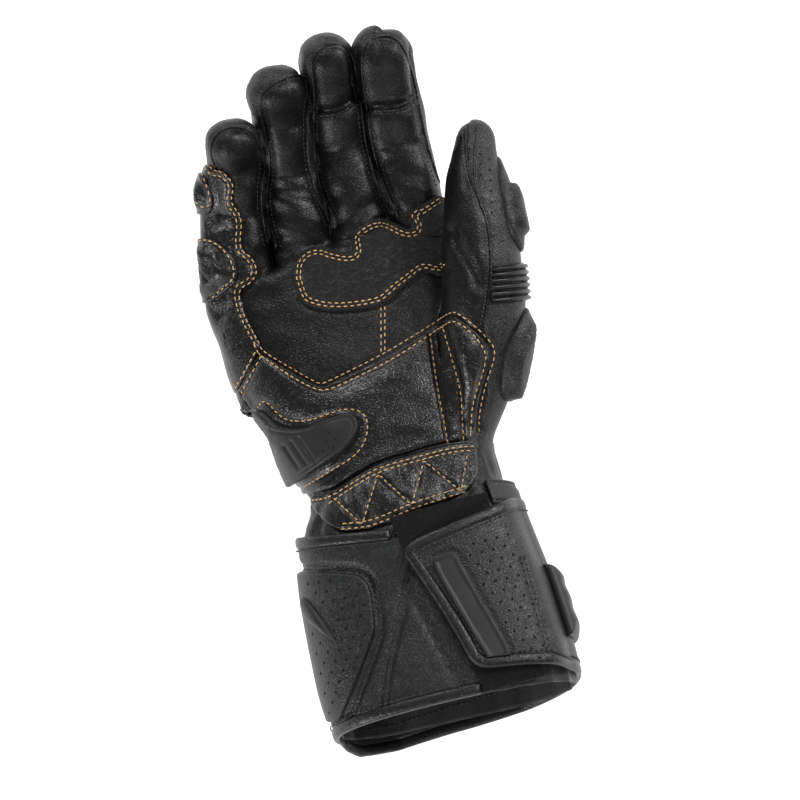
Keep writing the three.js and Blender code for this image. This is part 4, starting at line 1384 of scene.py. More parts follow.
@dataclass
class HandForm:
    """The smooth form of the hand: palm, fingers and thumb grown together.

    Fields, in millimetres: the box it is grown in, the side seam's height, how softly the palm meets each
    finger, all fingers and the thumb, the middle and radius of the filled crotch by the little finger, the
    width of a finger's folds, how much fuller the index finger's inner side and the little finger's side are,
    how deep the palm is hollowed, and the distance that stands for far away.
    """

    low: tuple[float, float, float] = (-76.0, -91.0, -4.0)
    high: tuple[float, float, float] = (72.0, 162.0, 78.0)
    seam_height: float = 22.0
    soft_finger: float = 3.5
    soft_fingers: float = 4.0
    soft_thumb: float = 2.2
    crotch: tuple[float, float, float] = (-41.0, 64.0, 20.0)
    crotch_radius: float = 5.0
    fold: float = 1.7
    index_swell: float = 3.2
    side_swell: float = 3.2
    hollow: float = 1.6
    far: float = 8.0

    def __post_init__(self) -> None:
        """Builds the limbs and the surface over them."""
        self.palm = Limb(PALM_ROWS, 0.0, 9.0, 2.4)
        self.thumb = Limb(THUMB_ROWS, -66.0, 11.0)
        self.fingers = [finger.limb() for finger in FINGERS]
        self.limbs = [self.palm, *self.fingers, self.thumb]
        self.skin = self._shaped(self._grown())

    def _grown(self) -> Skin:
        """Returns the surface where the limbs' distances meet zero."""
        axes = [np.arange(low, high, VOXEL) for low, high in zip(self.low, self.high)]
        fields = []
        for limb in self.limbs:
            reach = limb.size.max() + limb.end + 4.0
            spans = []
            for k, axis in enumerate(axes):
                near, past = limb.centre[:, k].min() - reach, limb.centre[:, k].max() + reach
                spans.append(slice(int(np.searchsorted(axis, near)), int(np.searchsorted(axis, past))))
            near_axes = [axis[span] for axis, span in zip(axes, spans)]
            part = np.stack(np.meshgrid(*near_axes, indexing="ij"), -1)
            values = np.full([len(axis) for axis in axes], self.far, np.float32)
            values[tuple(spans)] = limb.distance(part.reshape(-1, 3)).reshape(part.shape[:3])
            fields.append(values)
        palm, *fingers, thumb = fields
        form = palm
        for finger in fingers:
            form = self._blend(form, finger, self.soft_finger)
        digits = np.minimum.reduce(fingers)
        form = np.maximum(form, -self.far)
        form = np.where(digits < 1.5, self._blend(palm, digits, self.soft_fingers), form)
        form = self._blend(form, thumb, self.soft_thumb)
        places = np.meshgrid(*axes, indexing="ij", sparse=True)
        away = np.sqrt(sum((place - middle) ** 2 for place, middle in zip(places, self.crotch)))
        form = self._blend(form, away - self.crotch_radius, self.soft_fingers)
        form = np.maximum(form, -places[2])
        grid = openvdb.FloatGrid(self.far)
        grid.copyFromArray(np.ascontiguousarray(form, dtype=np.float32))
        points, quads = grid.convertToQuads(isovalue=0.0)
        verts = np.array(self.low) + points.astype(float) * VOXEL
        tris = np.vstack([quads[:, [0, 1, 2]], quads[:, [0, 2, 3]]]).astype(int)
        a, b, c = (verts[tris[:, k]] for k in range(3))
        if np.einsum("ij,ij->i", a, np.cross(b, c)).sum() < 0:
            tris = tris[:, ::-1]
        return Skin(verts, tris).smoothed(3)

    @staticmethod
    def _blend(a: Array, b: Array, soft: float) -> Array:
        """Returns the lower of two distances, rounded where they meet."""
        share = np.clip(0.5 + 0.5 * (b - a) / soft, 0.0, 1.0)
        return b * (1.0 - share) + a * share - soft * share * (1.0 - share)

    def _shaped(self, skin: Skin) -> Skin:
        """Adds each vertex's place on the limbs, the side seams, the dents and the wrinkles."""
        distances = np.stack([limb.distance(skin.verts) for limb in self.limbs], 1)
        owner = distances.argmin(axis=1)
        values = {
            "owner": owner.astype(float),
            "thumb": distances[:, :5].min(axis=1) - distances[:, 5],
            "front": skin.verts[:, 2] - self.seam_height,
            "tip": np.full(len(owner), -9.0),
            "run": np.zeros(len(owner)),
            "degrees": np.zeros(len(owner)),
        }
        relief = np.zeros(len(owner))
        spots, facing = skin.pattern(), skin.facing()
        for number, (finger, limb) in enumerate(zip(FINGERS, self.fingers), start=1):
            mine = np.flatnonzero(owner == number)
            degrees, run = limb.around(skin.verts[mine])
            run -= finger.lead
            weight = ramp(distances[mine, 0] - distances[mine, number], -3.0, 3.0)
            seam = FINGER_SEAMS[finger.name]
            foot = [(seam[-1][0] + 3.0, seam[-1][1] - 30.0), (seam[0][0] - 3.0, seam[0][1] - 30.0)]
            edge = inside_distance(spots[mine], smooth_path(seam + foot, closed=True, rounds=1))
            edge = np.minimum(edge, 12.0 * (facing[mine] + 0.12))
            edge += 9.0 * ramp(WEBS[finger.name] - run, 0.0, 5.0)
            values["front"][mine] = values["front"][mine] * (1.0 - weight) + edge * weight
            values["run"][mine], values["degrees"][mine] = run, degrees
            relief[mine] += self._finger_relief(number, run, degrees)
            if finger.name == "index":
                inner = ramp(-np.cos(np.radians(degrees)), 0.2, 0.9)
                relief[mine] += self.index_swell * ramp(run, 24.0, 46.0) * inner
            fold = TIP_FOLDS.get(finger.name)
            if fold:
                depth = inside_distance(spots[mine], self.above(fold))
                values["tip"][mine] = np.minimum(depth, 8.0 * (facing[mine] + 0.4))
                crease = 0.7 * ramp(depth, 4.0, 8.0) - 2.1 * bell(depth - 1.9, 1.7)
                relief[mine] += crease * ramp(facing[mine], 0.0, 0.4)
        thumb = owner == 5
        degrees, run = self.thumb.around(skin.verts[thumb])
        values["run"][thumb], values["degrees"][thumb] = run, degrees
        x, y = spots[thumb].T
        seam_x, seam_y = np.array(sorted(THUMB_SEAM, key=lambda spot: spot[1])).T
        past_seam = np.interp(y, seam_y, seam_x) - x
        under = np.radians(np.where(degrees < -60.0, degrees + 360.0, degrees) - 188.0) * 14.0
        values["front"][thumb] = np.minimum(past_seam, -under)
        relief[thumb] += 0.16 * lumps(31, run / 7.0, np.radians(degrees) * 1.3)
        relief[thumb] -= 1.7 * bell(path_distance(spots[thumb], np.array(THUMB_DENT)), 2.6)
        relief += self._palm_relief(skin) + self._side_relief(skin)
        crushed = ramp(-values["front"], 0.5, 4.0) * (owner > 0) * ramp(spots[:, 1], 90.0, 120.0)
        relief += 0.4 * crushed * noise(skin.verts * np.array([1.0, 1.0, 0.6]), 4.5, 33)
        seam_line = np.where(owner == 0, 9.0, values["front"])
        relief += 0.5 * ramp(seam_line, 1.0, 5.0) - 0.5 * bell(seam_line - 0.4, 1.3)
        skin.values = values
        return skin.raised(relief).refreshed()

    def _finger_relief(self, number: int, run: Array, degrees: Array) -> Array:
        """Returns the folds and fullness of a finger.

        Args:
            number: Which finger.
            run: How far each point lies past the knuckle.
            degrees: Its angle round the finger.

        Returns:
            The height at each point.
        """
        bones = FINGERS[number - 1].lengths
        palmar = ramp(np.sin(np.radians(degrees)), -0.1, 0.7)
        relief = np.zeros(len(run))
        for joint, depth in ((bones[0], 0.45), (bones[0] + bones[1], 0.15)):
            sag = 2.5 * np.sin(np.radians(degrees * 2 + 40 * number))
            relief -= depth * palmar * bell(run - joint - sag, self.fold)
        turn, which = np.radians(degrees), np.full(len(run), float(number))
        slant = run + 5.0 * np.cos(turn) * (1 if number % 2 else -1)
        folds = lumps(11, slant / 5.5, turn * 0.8, 7.0 * which)
        coarse = lumps(12, run / 13.0, turn * 1.6, 3.0 * which)
        low = ramp(bones[0] + 6.0 - run, 0.0, 14.0)
        return relief + palmar * ((0.12 + 1.05 * low) * folds + 0.3 * coarse)

    @staticmethod
    def above(fold: Points) -> Array:
        """Returns the outline of what lies above a fold across a finger."""
        path = smooth_path(fold, rounds=2)
        return np.vstack([path, [(path[-1][0] + 6.0, 175.0), (path[0][0] - 6.0, 175.0)]])

    def _side_relief(self, skin: Skin) -> Array:
        """Returns how much fuller or leaner the glove is along the little finger's side."""
        x, y = skin.pattern().T
        side = ramp(0.75 - skin.facing(), 0.0, 0.5) * ramp(-x, 40.0, 52.0)
        fuller = ramp(y, 35.0, 60.0) * ramp(-y, -118.0, -100.0)
        return side * self.side_swell * (fuller - bell(y - 3.0, 15.0))

    def _palm_relief(self, skin: Skin) -> Array:
        """Returns the broad lumps and the soft folds of the palm."""
        spots = skin.pattern()
        relief = 0.5 * noise(skin.verts, 21.0, 5) + 0.22 * noise(skin.verts, 7.0, 6)
        up = ramp(skin.facing(), 0.1, 0.6)
        hollow = np.exp(-(((spots[:, 0] + 6.0) / 26.0) ** 2 + ((spots[:, 1] - 36.0) / 16.0) ** 2))
        slant = math.radians(70)
        slanted = spots @ np.array([math.cos(slant), math.sin(slant)])
        crossing = spots @ np.array([-math.sin(slant), math.cos(slant)])
        folds = lumps(9, slanted / 5.0, crossing / 26.0)
        x, y, z = skin.verts.T
        gathers = 0.9 * ramp(-y, 34.0, 46.0) * lumps(15, x / 3.2, y / 14.0, z / 3.2)
        return relief + up * (-self.hollow * hollow + 0.2 * folds) + gathers


@dataclass
class Hand:
    """The leather of the hand and what is sewn on it.

    Fields: the tailor, then in millimetres how high the sewn parts stand: grip patch, wrist panel, pads and
    their crowns, slider, guards, the tip guard's crown and step, the knuckle guard's crown, and the ribs; how
    far apart the ribs lie, how deep the thumb mound's rows press, and the gold stitches' pitch and size.
    """

    tailor: Tailor
    grip: float = 1.3
    wrist: float = 1.5
    pad: float = 1.4
    pad_crown: float = 2.6
    slider: float = 3.0
    guard: float = 1.6
    tip_crown: float = 1.5
    tip_step: float = 2.6
    knuckle_crown: float = 4.4
    rib: float = 1.9
    rib_pitch: float = 2.65
    channel: float = 1.5
    gold_pitch: float = 2.75
    gold_size: float = 0.92

    def __post_init__(self) -> None:
        """Grows the form and keeps the skin that the base is cut from."""
        self.form = HandForm().skin
        self.skin = self._pressed(self.form)

    @staticmethod
    def _pressed(skin: Skin) -> Skin:
        """Presses the leather down along the edges of what is sewn over it."""
        spots = skin.pattern()
        up = ramp(skin.facing(), 0.0, 0.4)
        relief = np.zeros(len(skin.verts))
        for outline in (GRIP_OUTLINE, HEEL_OUTLINE, SIDE_PANEL_OUTLINE, WRIST_OUTLINE):
            away = inside_distance(spots, smooth_path(outline, closed=True, rounds=1))
            relief -= 0.45 * bell(away, 1.6) * up
        for row in PALM_ROWS_OF_THREAD:
            relief -= 0.35 * bell(path_distance(spots, np.array(row)), 0.8) * up
        raised = skin.raised(relief)
        return Skin(raised.verts, raised.tris, skin.off, raised.values)

    def panel(self, outline: Points, height: float, rounding: float, low: float, rounds: int = 2,
              base: float = 0.0, off_thumb: bool = False) -> tuple[Skin, Array]:
        """Cuts a panel out of the hand's surface and raises it.

        Args:
            outline: Its outline in the pattern plane.
            height: How thick it lies on the leather.
            rounding: How far in its edge rolls.
            low: The height over the floor at which it ends.
            rounds: How much its corners are rounded.
            base: The height of what it is sewn on.
            off_thumb: Whether it ends where the thumb begins.

        Returns:
            The panel and how deep each of its points lies inside its edge.
        """
        path = smooth_path(outline, closed=True, rounds=rounds)
        skin = self.form
        reach = inside_distance(skin.pattern(), path)
        rough = np.minimum(reach + 3.0, skin.verts[:, 2] - low + 3.0)
        rough = np.minimum(rough, 8.0 * (skin.facing() + 0.35))
        part = skin.clip(rough).halved()
        inside = inside_distance(part.pattern(), path)
        keep = np.minimum(np.minimum(inside, part.verts[:, 2] - low), 8.0 * (part.facing() + 0.15))
        if off_thumb:
            keep = np.minimum(keep, -1.0 - part.values["thumb"])
        part, depth = part.cut(keep)
        return part.raised(base + soft_edge(depth, height, rounding)), depth

    def build_base(self) -> None:
        """Makes the palm and finger fronts, the backs, the tips and the thumb."""
        skin, w, finish = self.skin, self.tailor.wardrobe, self.tailor.finish
        hand = skin.clip(-skin.values["thumb"])
        whole = hand.clip(hand.values["front"])
        front = whole.clip(-whole.values["tip"])
        back = hand.clip(-hand.values["front"])
        fronts, backs = ([finger.name + side for finger in FINGERS] for side in ("_front", "_back"))
        finish("palm_and_finger_fronts", front, w.supple, Slot.GRAIN, "palm_leather", *fronts)
        finish("back_and_finger_backs", back, w.matte, Slot.MATTE, "back_leather", *backs)
        thumb = skin.clip(skin.values["thumb"])
        front, back = thumb.clip(thumb.values["front"]), thumb.clip(-thumb.values["front"])
        finish("thumb_front_leather", front, w.supple, Slot.GRAIN, "thumb_front")
        finish("thumb_back_leather", back, w.matte, Slot.MATTE, "thumb_back")
        tips = whole.clip(whole.values["tip"])
        for number in (1, 2):
            name = FINGERS[number - 1].name
            tip = tips.clip(0.5 - np.abs(tips.values["owner"] - number)).halved()
            depth = tip.values["tip"]
            tip = tip.raised(0.5 * ramp(depth, 3.0, 6.5) * ramp(tip.values["front"], 0.0, 3.0))
            finish(f"{name}_tip_panel", tip, w.supple, Slot.GRAIN, f"{name}_tip_front")

    def build_overlays(self) -> None:
        """Makes the panels and pads that are sewn on the palm."""
        w, finish = self.tailor.wardrobe, self.tailor.finish
        side, _ = self.panel(SIDE_PANEL_OUTLINE, OVERLAY, 1.3, low=9.0)
        side = side.furrowed(SIDE_ROWS, 0.4, 0.7)
        finish("little_side_leather", side, w.grain, Slot.GRAIN, "little_side_panel")
        for name, outline, low in (("upper", UPPER_PAD, 25.0), ("lower", LOWER_PAD, 13.0)):
            pad, depth = self.panel(outline, self.pad, 1.0, low=low, base=OVERLAY)
            pad = pad.raised(self.pad_crown * ramp(depth, 1.8, 7.0) - 0.5 * bell(depth - 2.0, 0.7))
            node = f"little_side_pad_{name}"
            finish(f"little_{name}_pad_leather", pad, w.grain, Slot.GRAIN, node)
        grip, _ = self.panel(GRIP_OUTLINE, self.grip, 0.9, low=24.0, off_thumb=True)
        finish("grip_patch_suede", grip, w.suede, Slot.SUEDE, "palm_grip_patch")
        heel, depth = self.panel(HEEL_OUTLINE, OVERLAY, 1.3, low=9.0)
        spots = heel.pattern()
        puff = ramp(depth, 2.5, 11.0) * 0.9
        for middle, spread, height in HEEL_LOBES:
            away = (spots - np.array(middle)) / np.array(spread)
            puff += height * np.exp(-(away**2).sum(axis=1)) * ramp(depth, 1.0, 4.0)
        puff += 0.35 * lumps(21, spots[:, 0] / 12.0, spots[:, 1] / 5.0)
        level = ramp(heel.facing(), 0.0, 0.5)
        heel = heel.raised(puff * level - 1.3 * (1.0 - level) * ramp(depth, 0.0, 3.0))
        heel = heel.furrowed([THENAR_A, THENAR_B], self.channel, 1.0)
        heel = heel.furrowed([HEEL_INNER_ROW, SLIDER_ROW, *SHORT_ROWS], 0.6, 0.9)
        finish("heel_leather", heel, w.grain, Slot.GRAIN, "heel_panel")
        wrist, depth = self.panel(WRIST_OUTLINE, self.wrist, 1.1, low=26.0)
        wrist = wrist.raised(0.5 * ramp(depth, 3.0, 8.0)).furrowed([ZIGZAG], 0.7, 1.0, rounds=0)
        wrist = wrist.furrowed([WRIST_TOP_ROW, WRIST_BOTTOM_ROW], 0.4, 0.8)
        finish("wrist_leather", wrist, w.grain, Slot.GRAIN, "wrist_panel")
        slider, depth = self.panel(SLIDER_OUTLINE, self.slider, 1.0, low=12.0, base=OVERLAY + 0.4)
        slider = slider.raised(0.35 * ramp(depth, 1.5, 7.0) - 0.3 * bell(depth - 1.9, 0.5))
        slider = slider.furrowed(SLIDER_GROOVES, 0.55, 0.7, rounds=0)
        finish("palm_slider_moulding", slider, w.rubber, Slot.RUBBER, "palm_slider")

    def build_thumb_parts(self) -> None:
        """Makes the thumb's guards and its stretch ribs."""
        w = self.tailor.wardrobe
        tip, depth = self.panel(TIP_GUARD, self.guard, 1.2, low=30.0, base=GAP)
        inner = inside_distance(tip.pattern(), np.array(TIP_GUARD_STEP, float))
        tip = tip.raised(self.tip_crown * ramp(depth, 0.6, 3.0) + self.tip_step * ramp(inner, -0.3, 1.0))
        knuckle, depth = self.panel(KNUCKLE_GUARD, self.guard, 1.2, low=14.0, base=GAP)
        knuckle = knuckle.raised(self.knuckle_crown * ramp(depth, 0.6, 4.0))
        knuckle = knuckle.furrowed([KNUCKLE_ROW], 0.8, 0.9)
        for name, guard in (("thumb_tip_guard", tip), ("thumb_knuckle_guard", knuckle)):
            piece = self.tailor.finish(name + "_leather", guard, w.matte, Slot.MATTE, name)
        ribs, _ = self.panel(THUMB_RIBS, 0.6, 0.8, low=26.0, rounds=1)
        ribs = ribs.halved()
        x, y = ribs.pattern().T
        wave = np.abs(np.sin(np.pi * (y + 0.1 * (x - 56.0) - 30.0) / self.rib_pitch))
        ribs = ribs.raised(self.rib * wave**0.6 * ramp(ribs.values["deep"], 0.0, 1.0))
        self.tailor.finish("thumb_rib_leather", ribs, w.ribbed, Slot.RIBS, "thumb_stretch_ribs")

    def build_threads(self) -> None:
        """Sews the palm's gold and black seams."""
        t, w, shifted = self.tailor, self.tailor.wardrobe, self.shifted
        gold = {
            "palm_gold_stitches": t.rows(
                HEEL_OUTER_ROW, HEEL_INNER_ROW, GRIP_TOP, GRIP_BOTTOM, shifted(GRIP_TOP, 1.5),
                shifted(GRIP_BOTTOM, -1.5), *SHORT_ROWS, *PALM_ROWS_OF_THREAD,
            ),
            "side_gold_stitches": t.rows(*SIDE_ROWS, UPPER_PAD_ROW, LOWER_PAD_ROW),
            "heel_gold_stitches": t.rows(THENAR_A, THENAR_B, SLIDER_ROW),
            "wrist_gold_stitches": [
                *t.rows(WRIST_TOP_ROW, WRIST_SECOND_ROW, WRIST_BOTTOM_ROW, WRIST_LIFTED_ROW),
                t.row(ZIGZAG, rounds=0),
            ],
        }
        for name, lines in gold.items():
            dress(t.sew(name, lines, w.gold, self.gold_pitch, self.gold_size), Slot.GRAIN)
        pale = t.rows(shifted(THUMB_SEAM[1:11], 1.2), shifted(THUMB_STRIP, -0.9))
        dress(t.sew("thumb_pale_stitches", pale, w.pale, pitch=1.6, size=0.45), Slot.GRAIN)
        dark = [KNUCKLE_ROW, *(shifted(seam, 1.7) for seam in FINGER_SEAMS.values())]
        dark += [shifted(fold, 1.1) for fold in TIP_FOLDS.values()]
        dress(t.sew("finger_black_stitches", t.rows(*dark), w.black, pitch=2.0, size=0.72), Slot.GRAIN)
        seams = t.rows(*FINGER_SEAMS.values(), THUMB_SEAM[:11], THUMB_STRIP)
        folds = t.rows(*(fold[1:-1] for fold in TIP_FOLDS.values()))
        piping = joined([welt(line, 0.9, 1.0) for line in seams] + [welt(line, 1.2, 1.2) for line in folds])
        piping = piping.raised(0.2 * noise(piping.verts, 1.5, 53))
        dress(make_object("seam_piping", piping, w.edge), Slot.GRAIN)

    @staticmethod
    def shifted(row: Points, distance: float) -> list[tuple[float, float]]:
        """Returns a path moved sideways, to the right of its direction where the distance is positive."""
        path = smooth_path(row, rounds=1)
        run = unit(np.gradient(path, axis=0))
        return [tuple(spot) for spot in path + distance * np.stack([run[:, 1], -run[:, 0]], 1)]

    def build_holes(self) -> None:
        """Punches the perforated leather of the fingers and the thumb."""
        spots = [hole_grid(np.array(outline), *grid) for outline, *grid in HAND_HOLES]
        dress(self.tailor.punch("hand_perforations", np.vstack(spots), 1.05), Slot.MATTE)
        dress(self.tailor.punch("slider_vents", np.array(SLIDER_VENTS), 0.9), Slot.RUBBER)

    def build(self) -> None:
        """Builds all the pieces of the hand."""
        self.build_base()
        self.build_overlays()
        self.build_thumb_parts()
        self.build_threads()
        self.build_holes()


@dataclass
class Cuff:
    """The gauntlet cuff with its closure, bindings, pads and strap.

    Fields: the tailor, then in millimetres how far a part stands clear of what is under it, how far the flap
    rises over the wall, how high the loop patch, the side pad and its crown, the rib, the guard and the bar
    stand, the strap's bulge, how deep the seams press, the bindings' width and how far they lap over the
    edge, and the radius by which angles become lengths.
    """

    tailor: Tailor
    clear: float = 0.6
    lift: float = 0.6 + LEATHER + 1.8
    loop: float = 0.9
    side_pad: float = 1.7
    side_crown: float = 0.5
    rib: float = 2.0
    guard: float = 4.2
    bar: float = 2.1
    bulge: float = 3.0
    seam: float = 1.5
    binding: float = 5.0
    lap: float = 0.8
    radius: float = 50.0

    def __post_init__(self) -> None:
        """Makes the tubes of the cuff and of the hand's wrist."""
        self.limb = Limb(CUFF_ROWS, 0.0, 1.0, 2.4, floor=LEATHER, count=220)
        self.hand = Limb(PALM_ROWS, 0.0, 9.0, 2.4, count=220)

    @staticmethod
    def along(limb: Limb, y: Array) -> Array:
        """Returns the share along a limb at which y lies."""
        return np.interp(y, limb.centre[:, 1], np.linspace(0.0, 1.0, limb.count))

    def patch(self, low: Points, high: Points, height: Callable[[Array, Array], Array] | float,
              step: float = 1.15, limb: Limb | None = None) -> Skin:
        """Makes a sheet on the cuff between a low and a high edge.

        Args:
            low: The low edge from left to right, as degrees and y.
            high: The high edge from left to right.
            height: The height off the cuff, or a function of the shares across and along.
            step: The size of its triangles.
            limb: Another tube to lay it on.

        Returns:
            The sheet, with its shares as the values u and v.
        """
        limb = limb or self.limb
        edges = [np.array(edge, float) for edge in (low, high)]
        wide = int(abs(edges[0][0, 0] - edges[0][-1, 0]) * 0.85 / step) + 2
        long = int(max(abs(edges[1][k, 1] - edges[0][k, 1]) for k in (0, -1)) / step) + 2
        u, v = (part.ravel() for part in np.meshgrid(np.linspace(0, 1, wide), np.linspace(0, 1, long)))
        lines = []
        for edge in edges:
            share = (edge[:, 0] - edge[0, 0]) / (edge[-1, 0] - edge[0, 0])
            lines.append(np.stack([np.interp(u, share, edge[:, k]) for k in range(2)], 1))
        spot = lines[0] * (1.0 - v[:, None]) + lines[1] * v[:, None]
        offset = height(u, v) if callable(height) else np.full(len(u), height)
        verts = limb.point(spot[:, 0], self.along(limb, spot[:, 1]), offset)
        index = np.arange(wide * long).reshape(long, wide)
        a, b = index[:-1, :-1].ravel(), index[:-1, 1:].ravel()
        c, d = index[1:, 1:].ravel(), index[1:, :-1].ravel()
        tris = np.vstack([np.stack([a, b, c], 1), np.stack([a, c, d], 1)])
        skin = Skin(verts, tris)
        middle = len(verts) // 2
        outward = verts[middle] - limb.centre[np.abs(limb.centre[:, 1] - verts[middle, 1]).argmin()]
        if skin.off[middle] @ outward < 0:
            skin = Skin(verts, tris[:, ::-1])
        skin.values = {"u": u, "v": v}
        return skin

    def edge(self, route: Sequence[tuple[float, float, float]], height: Callable[[Array], Array],
             deep: float, step: float = 1.5) -> tuple[Skin, Line]:
        """Binds an edge of the cuff.

        Args:
            route: Degrees, y and the direction in which the band leaves the leather, corner by corner.
            height: The height of the band's middle off the cuff at given degrees.
            deep: Its thickness.
            step: How far apart its sections lie.

        Returns:
            The band and the seam line along its inner part.
        """
        rows = np.array(route, float)
        arc = np.radians(rows[:, 0]) * self.radius
        run = run_along(np.stack([arc, rows[:, 1], rows[:, 2] * 0.06], 1))
        steps = np.linspace(0.0, run[-1], int(run[-1] / step) + 2)
        degrees, y, turn = (np.interp(steps, run, rows[:, k]) for k in range(3))

        def at(reach: float) -> Array:
            swing = np.degrees(reach * np.sin(np.radians(turn)) / self.radius)
            far_y = y + reach * np.cos(np.radians(turn))
            return self.limb.point(degrees + swing, self.along(self.limb, far_y), height(degrees))

        points = at(-self.lap)
        sides = unit(at(self.binding - self.lap) - points)
        share = self.along(self.limb, y)
        level, higher = (self.limb.point(degrees, share, height(degrees) + more) for more in (0.0, 1.0))
        ups = higher - level
        ups[:, 2] += 1e-3
        ups = unit(ups - sides * np.einsum("ij,ij->i", ups, sides)[:, None])
        band = swept_band(points, ups, sides, self.binding, deep)
        line = points - sides * 0.7 + ups * (deep / 2 - 0.2)
        off_floor = line[:, 2] > self.clear
        return band, (line[off_floor], ups[off_floor])

    def build_walls(self) -> None:
        """Makes the back wall, the front wall, the lining and the loop patch."""
        w, finish = self.tailor.wardrobe, self.tailor.finish

        def crumple(u: Array, v: Array) -> Array:
            return LEATHER + 0.5 * lumps(41, u * 7.0, v * 4.0) * np.minimum(1.0, 8 * np.minimum(v, 1 - v))

        back = self.patch(BACK_HEM, [(198, -56), (388, -67)], crumple)
        finish("cuff_back_leather", back, w.matte, Slot.MATTE, "cuff_back", wall=LEATHER)
        front = self.patch([(197, -138.5), (62, -137)], [(197, -55.7), (56, -76)], crumple)
        self.front = front.furrowed((*VEE_ROWS, *SIDE_PAD_ROWS), self.seam, 1.1)
        finish("cuff_front_leather", self.front, w.matte, Slot.MATTE, "cuff_front", wall=LEATHER)

        def pucker(u: Array, v: Array) -> Array:
            return -0.5 - 1.1 * np.abs(np.sin(u * 60.0 + 3.0 * v))

        lining = self.patch([(360, -141), (0, -141)], [(360, -84), (0, -84)], pucker, step=1.4)
        inside = Skin(lining.verts, lining.tris[:, ::-1], -lining.off, lining.values)
        dress(make_object("cuff_lining", inside.closed(0.5), w.lining), Slot.LOOP)

        def loops(u: Array, v: Array) -> Array:
            return LEATHER + self.clear + self.loop + 0.35 * lumps(44, u * 60, v * 90)

        loop = self.patch([(80, -141), (50, -139)], [(96, -62), (50, -60)], loops, 0.9)
        finish("loop_patch", loop, w.loop, Slot.LOOP, "cuff_loop_patch")

    def build_side(self) -> None:
        """Makes the perforated side pad, its rib and the guard on the thumb side."""
        w, finish = self.tailor.wardrobe, self.tailor.finish
        pad = self.front.halved()
        pad, depth = pad.cut(np.minimum(inside_outline(pad, SIDE_PAD), 6.0 * (pad.facing() + 0.25)))
        pad = pad.raised(soft_edge(depth, self.side_pad, 1.2) + self.side_crown * ramp(depth, 2.0, 8.0))
        finish("side_pad_leather", pad, w.matte, Slot.MATTE, "cuff_side_pad")
        rib = pad.halved()
        rib, depth = rib.cut(inside_outline(rib, RIB_OUTLINE))
        rib = rib.raised(soft_edge(depth, self.rib, 2.6, -0.2))
        finish("side_rib_moulding", rib, w.rubber, Slot.RUBBER, "cuff_side_rib")

        def bump(u: Array, v: Array) -> Array:
            edge = np.minimum(np.minimum(u, 1 - u) * 44.0, np.minimum(v, 1 - v) * 32.0)
            ribbed = 0.5 * np.sin(v * 3 * np.pi) ** 2 * ramp(edge, 3.0, 6.0)
            return LEATHER + soft_edge(edge, self.guard, 5.0, 0.4) + ribbed

        guard = self.patch([(20, -125), (-38, -125)], [(20, -93), (-38, -93)], bump, step=0.9)
        finish("cuff_guard_moulding", guard, w.rubber, Slot.RUBBER, "cuff_guard")

    def build_closure(self) -> None:
        """Makes the flap, its bar and the strap at the wrist."""
        w, finish = self.tailor.wardrobe, self.tailor.finish

        def rise(u: Array, v: Array) -> Array:
            level = self.lift * ramp(1.0 - u, 0.18, 0.5) + LEATHER + 0.45
            return level + 0.35 * lumps(47, u * 4.0, v * 4.0)

        low, high = [(80, -128.5), (29.5, -133), (6, -134.3)], [(91, -77.5), (29.5, -67), (6, -66)]
        flap = self.patch(low, high, rise, 0.9)
        relief = furrows(flap.pattern(), FLAP_SEAM, 0.5, 0.8, rounds=0)
        flap = flap.raised(np.minimum(relief, -0.5 * bell(inside_outline(flap, BADGE) + 0.8, 0.9)))
        finish("closure_flap_leather", flap, w.matte, Slot.MATTE, "closure_flap", wall=LEATHER)
        badge = flap.halved()
        badge, depth = badge.cut(inside_outline(badge, BADGE))
        badge = badge.raised(soft_edge(depth, self.bar, 0.7) - 0.7 * ramp(depth, 1.3, 1.8))
        finish("closure_bar_moulding", badge, w.rubber, Slot.RUBBER, "closure_badge")

        def strap_rise(u: Array, v: Array) -> Array:
            bulge = self.bulge * np.sin(np.pi * np.clip(1.35 * u - 0.1, 0.0, 1.0)) ** 2
            return self.clear + bulge + LEATHER - 0.7 * bell(np.minimum(v, 1 - v) * 14 - 2.0, 0.7)

        strap = self.patch([(42, -60.5), (-60, -57)], [(42, -51), (-60, -41)], strap_rise, 0.9, self.hand)
        finish("wrist_strap_leather", strap, w.matte, Slot.MATTE, "wrist_strap", wall=LEATHER)

    def build_bindings(self) -> None:
        """Binds the cuff's edges and sews the cuff's dark seams."""
        t, w = self.tailor, self.tailor.wardrobe
        middle = LEATHER / 2

        def flat(degrees: Array) -> Array:
            return np.full(len(degrees), middle + 0.2)

        def raised(degrees: Array) -> Array:
            return middle + 0.45 + self.lift * ramp((degrees - 6.0) / 85.0, 0.18, 0.5)

        back_hem = [(*spot, 180) for spot in BACK_HEM]
        lines = []
        for name, node, route, height, deep in (
            ("top_binding", "cuff_top_binding", TOP_EDGE, flat, 3.2),
            ("front_hem_binding", "cuff_front_hem_binding", FRONT_HEM, flat, 3.2),
            ("back_hem_binding", "cuff_back_hem_binding", back_hem, flat, 3.4),
            ("flap_binding", "closure_binding", FLAP_EDGE, raised, 3.2),
        ):
            band, line = self.edge(route, height, deep)
            t.finish(name + "_leather", band, w.edge, Slot.GRAIN, node, wall=0.0)
            lines.append(line)
        degrees = np.linspace(206.0, 352.0, 150)
        share = self.along(self.limb, np.interp(degrees, *np.array(BACK_HEM, float).T) + 6.5)
        inside, deeper = (self.limb.point(degrees, share, offset) for offset in (-1.6, -2.6))
        lines.append((inside, deeper - inside))
        lines += t.rows(*VEE_ROWS, *SIDE_PAD_ROWS, *FLAP_SEAM)
        dress(t.sew("cuff_black_stitches", lines, w.black, pitch=2.4, size=0.9), Slot.MATTE)

